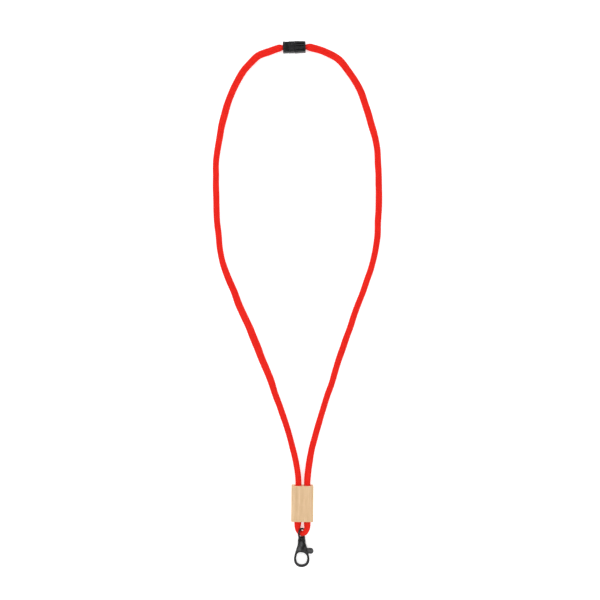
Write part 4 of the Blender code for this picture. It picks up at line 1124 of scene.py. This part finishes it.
def place_clasp_solid(name, field, solid, body, node):
    place_solid(name, field, solid, clasp_matrix(), CLASP_MATERIAL, body, node)


def place_hook_solid(name, field, solid, material, body, node):
    place_solid(name, field, solid, hook_matrix(), material, body, node)


# ---- camera, light and floor
def build_camera():
    data = bpy.data.cameras.new("camera")
    data.lens = CAMERA_LENS_MM
    data.sensor_width = CAMERA_SENSOR_MM
    data.clip_start = 0.01
    camera = bpy.data.objects.new("camera", data)
    camera.location = CAMERA_PLACE
    bpy.context.scene.collection.objects.link(camera)
    bpy.context.scene.camera = camera


def build_studio():
    world = bpy.data.worlds.new("studio")
    world.use_nodes = True
    tree = world.node_tree
    way = tree.nodes.new("ShaderNodeTexCoord")
    split = tree.nodes.new("ShaderNodeSeparateXYZ")
    ramp = tree.nodes.new("ShaderNodeValToRGB")
    stops = ramp.color_ramp.elements
    while len(stops) < len(SKY):
        stops.new(0.5)
    for stop, (height, bright) in zip(stops, SKY):
        stop.position = height
        stop.color = (bright, bright, bright, 1.0)
    tree.links.new(way.outputs["Generated"], split.inputs[0])
    tree.links.new(split.outputs["Z"], ramp.inputs["Fac"])
    tree.links.new(ramp.outputs["Color"], tree.nodes["Background"].inputs["Color"])
    bpy.context.scene.world = world
    bpy.context.scene.view_settings.view_transform = "Standard"
    for name, place, power in SOFT_BOXES:
        data = bpy.data.lights.new(name, "AREA")
        data.size = SOFT_BOX_SIZE
        data.energy = power
        light = bpy.data.objects.new(name, data)
        light.location = place
        light.rotation_euler = Vector(place).to_track_quat("Z", "Y").to_euler()
        bpy.context.scene.collection.objects.link(light)
    half = FLOOR_SIZE / 2
    mesh = bpy.data.meshes.new("floor")
    corners = [(x * half, y * half, FLOOR_Z) for x, y in ((-1, -1), (1, -1), (1, 1), (-1, 1))]
    mesh.from_pydata(corners, [], [(0, 1, 2, 3)])
    add_piece("floor", mesh, floor_material())


def dress(node, material):
    """A CAD node that keeps its own shape gets a finished material."""
    for material_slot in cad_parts[node].material_slots:
        material_slot.link = "OBJECT"
        material_slot.material = material


# ---- the lanyard
build_camera()
CORD_MATERIAL = cord_material()
# The spots given to a material get a painted highlight.
CLASP_MATERIAL = black_material("clasp_moulded_plastic", MOULDED_PLASTIC, DOME_TOPS, DOME_RADIUS)
EYE_MATERIAL = black_material("eye_black_coating", BLACK_COATING)
HOOK_MATERIAL = black_material("hook_black_coating", BLACK_COATING, CHEEK_PAINTED_HIGHLIGHTS, CHEEK_HIGHLIGHT_REACH)
GATE_MATERIAL = black_material("gate_black_coating", BLACK_COATING, TAB_PAINTED_HIGHLIGHTS, TAB_HIGHLIGHT_REACH)
WOOD_MATERIAL = wood_material()
build_cord()
build_studio()
build_socket_half()
build_plug_half()
build_plug_cap()
build_wood_block()
build_swivel_eye()
build_hook_body()
build_gate()
build_gate_pin()
for node in ("crimp_left", "crimp_right"):
    dress(node, steel_material("crimp_steel_lines", (0.1, 1.0, 1.0)))
dress("gate_spring", steel_material("spring_steel_lines", (1.0, 1.0, 0.2)))
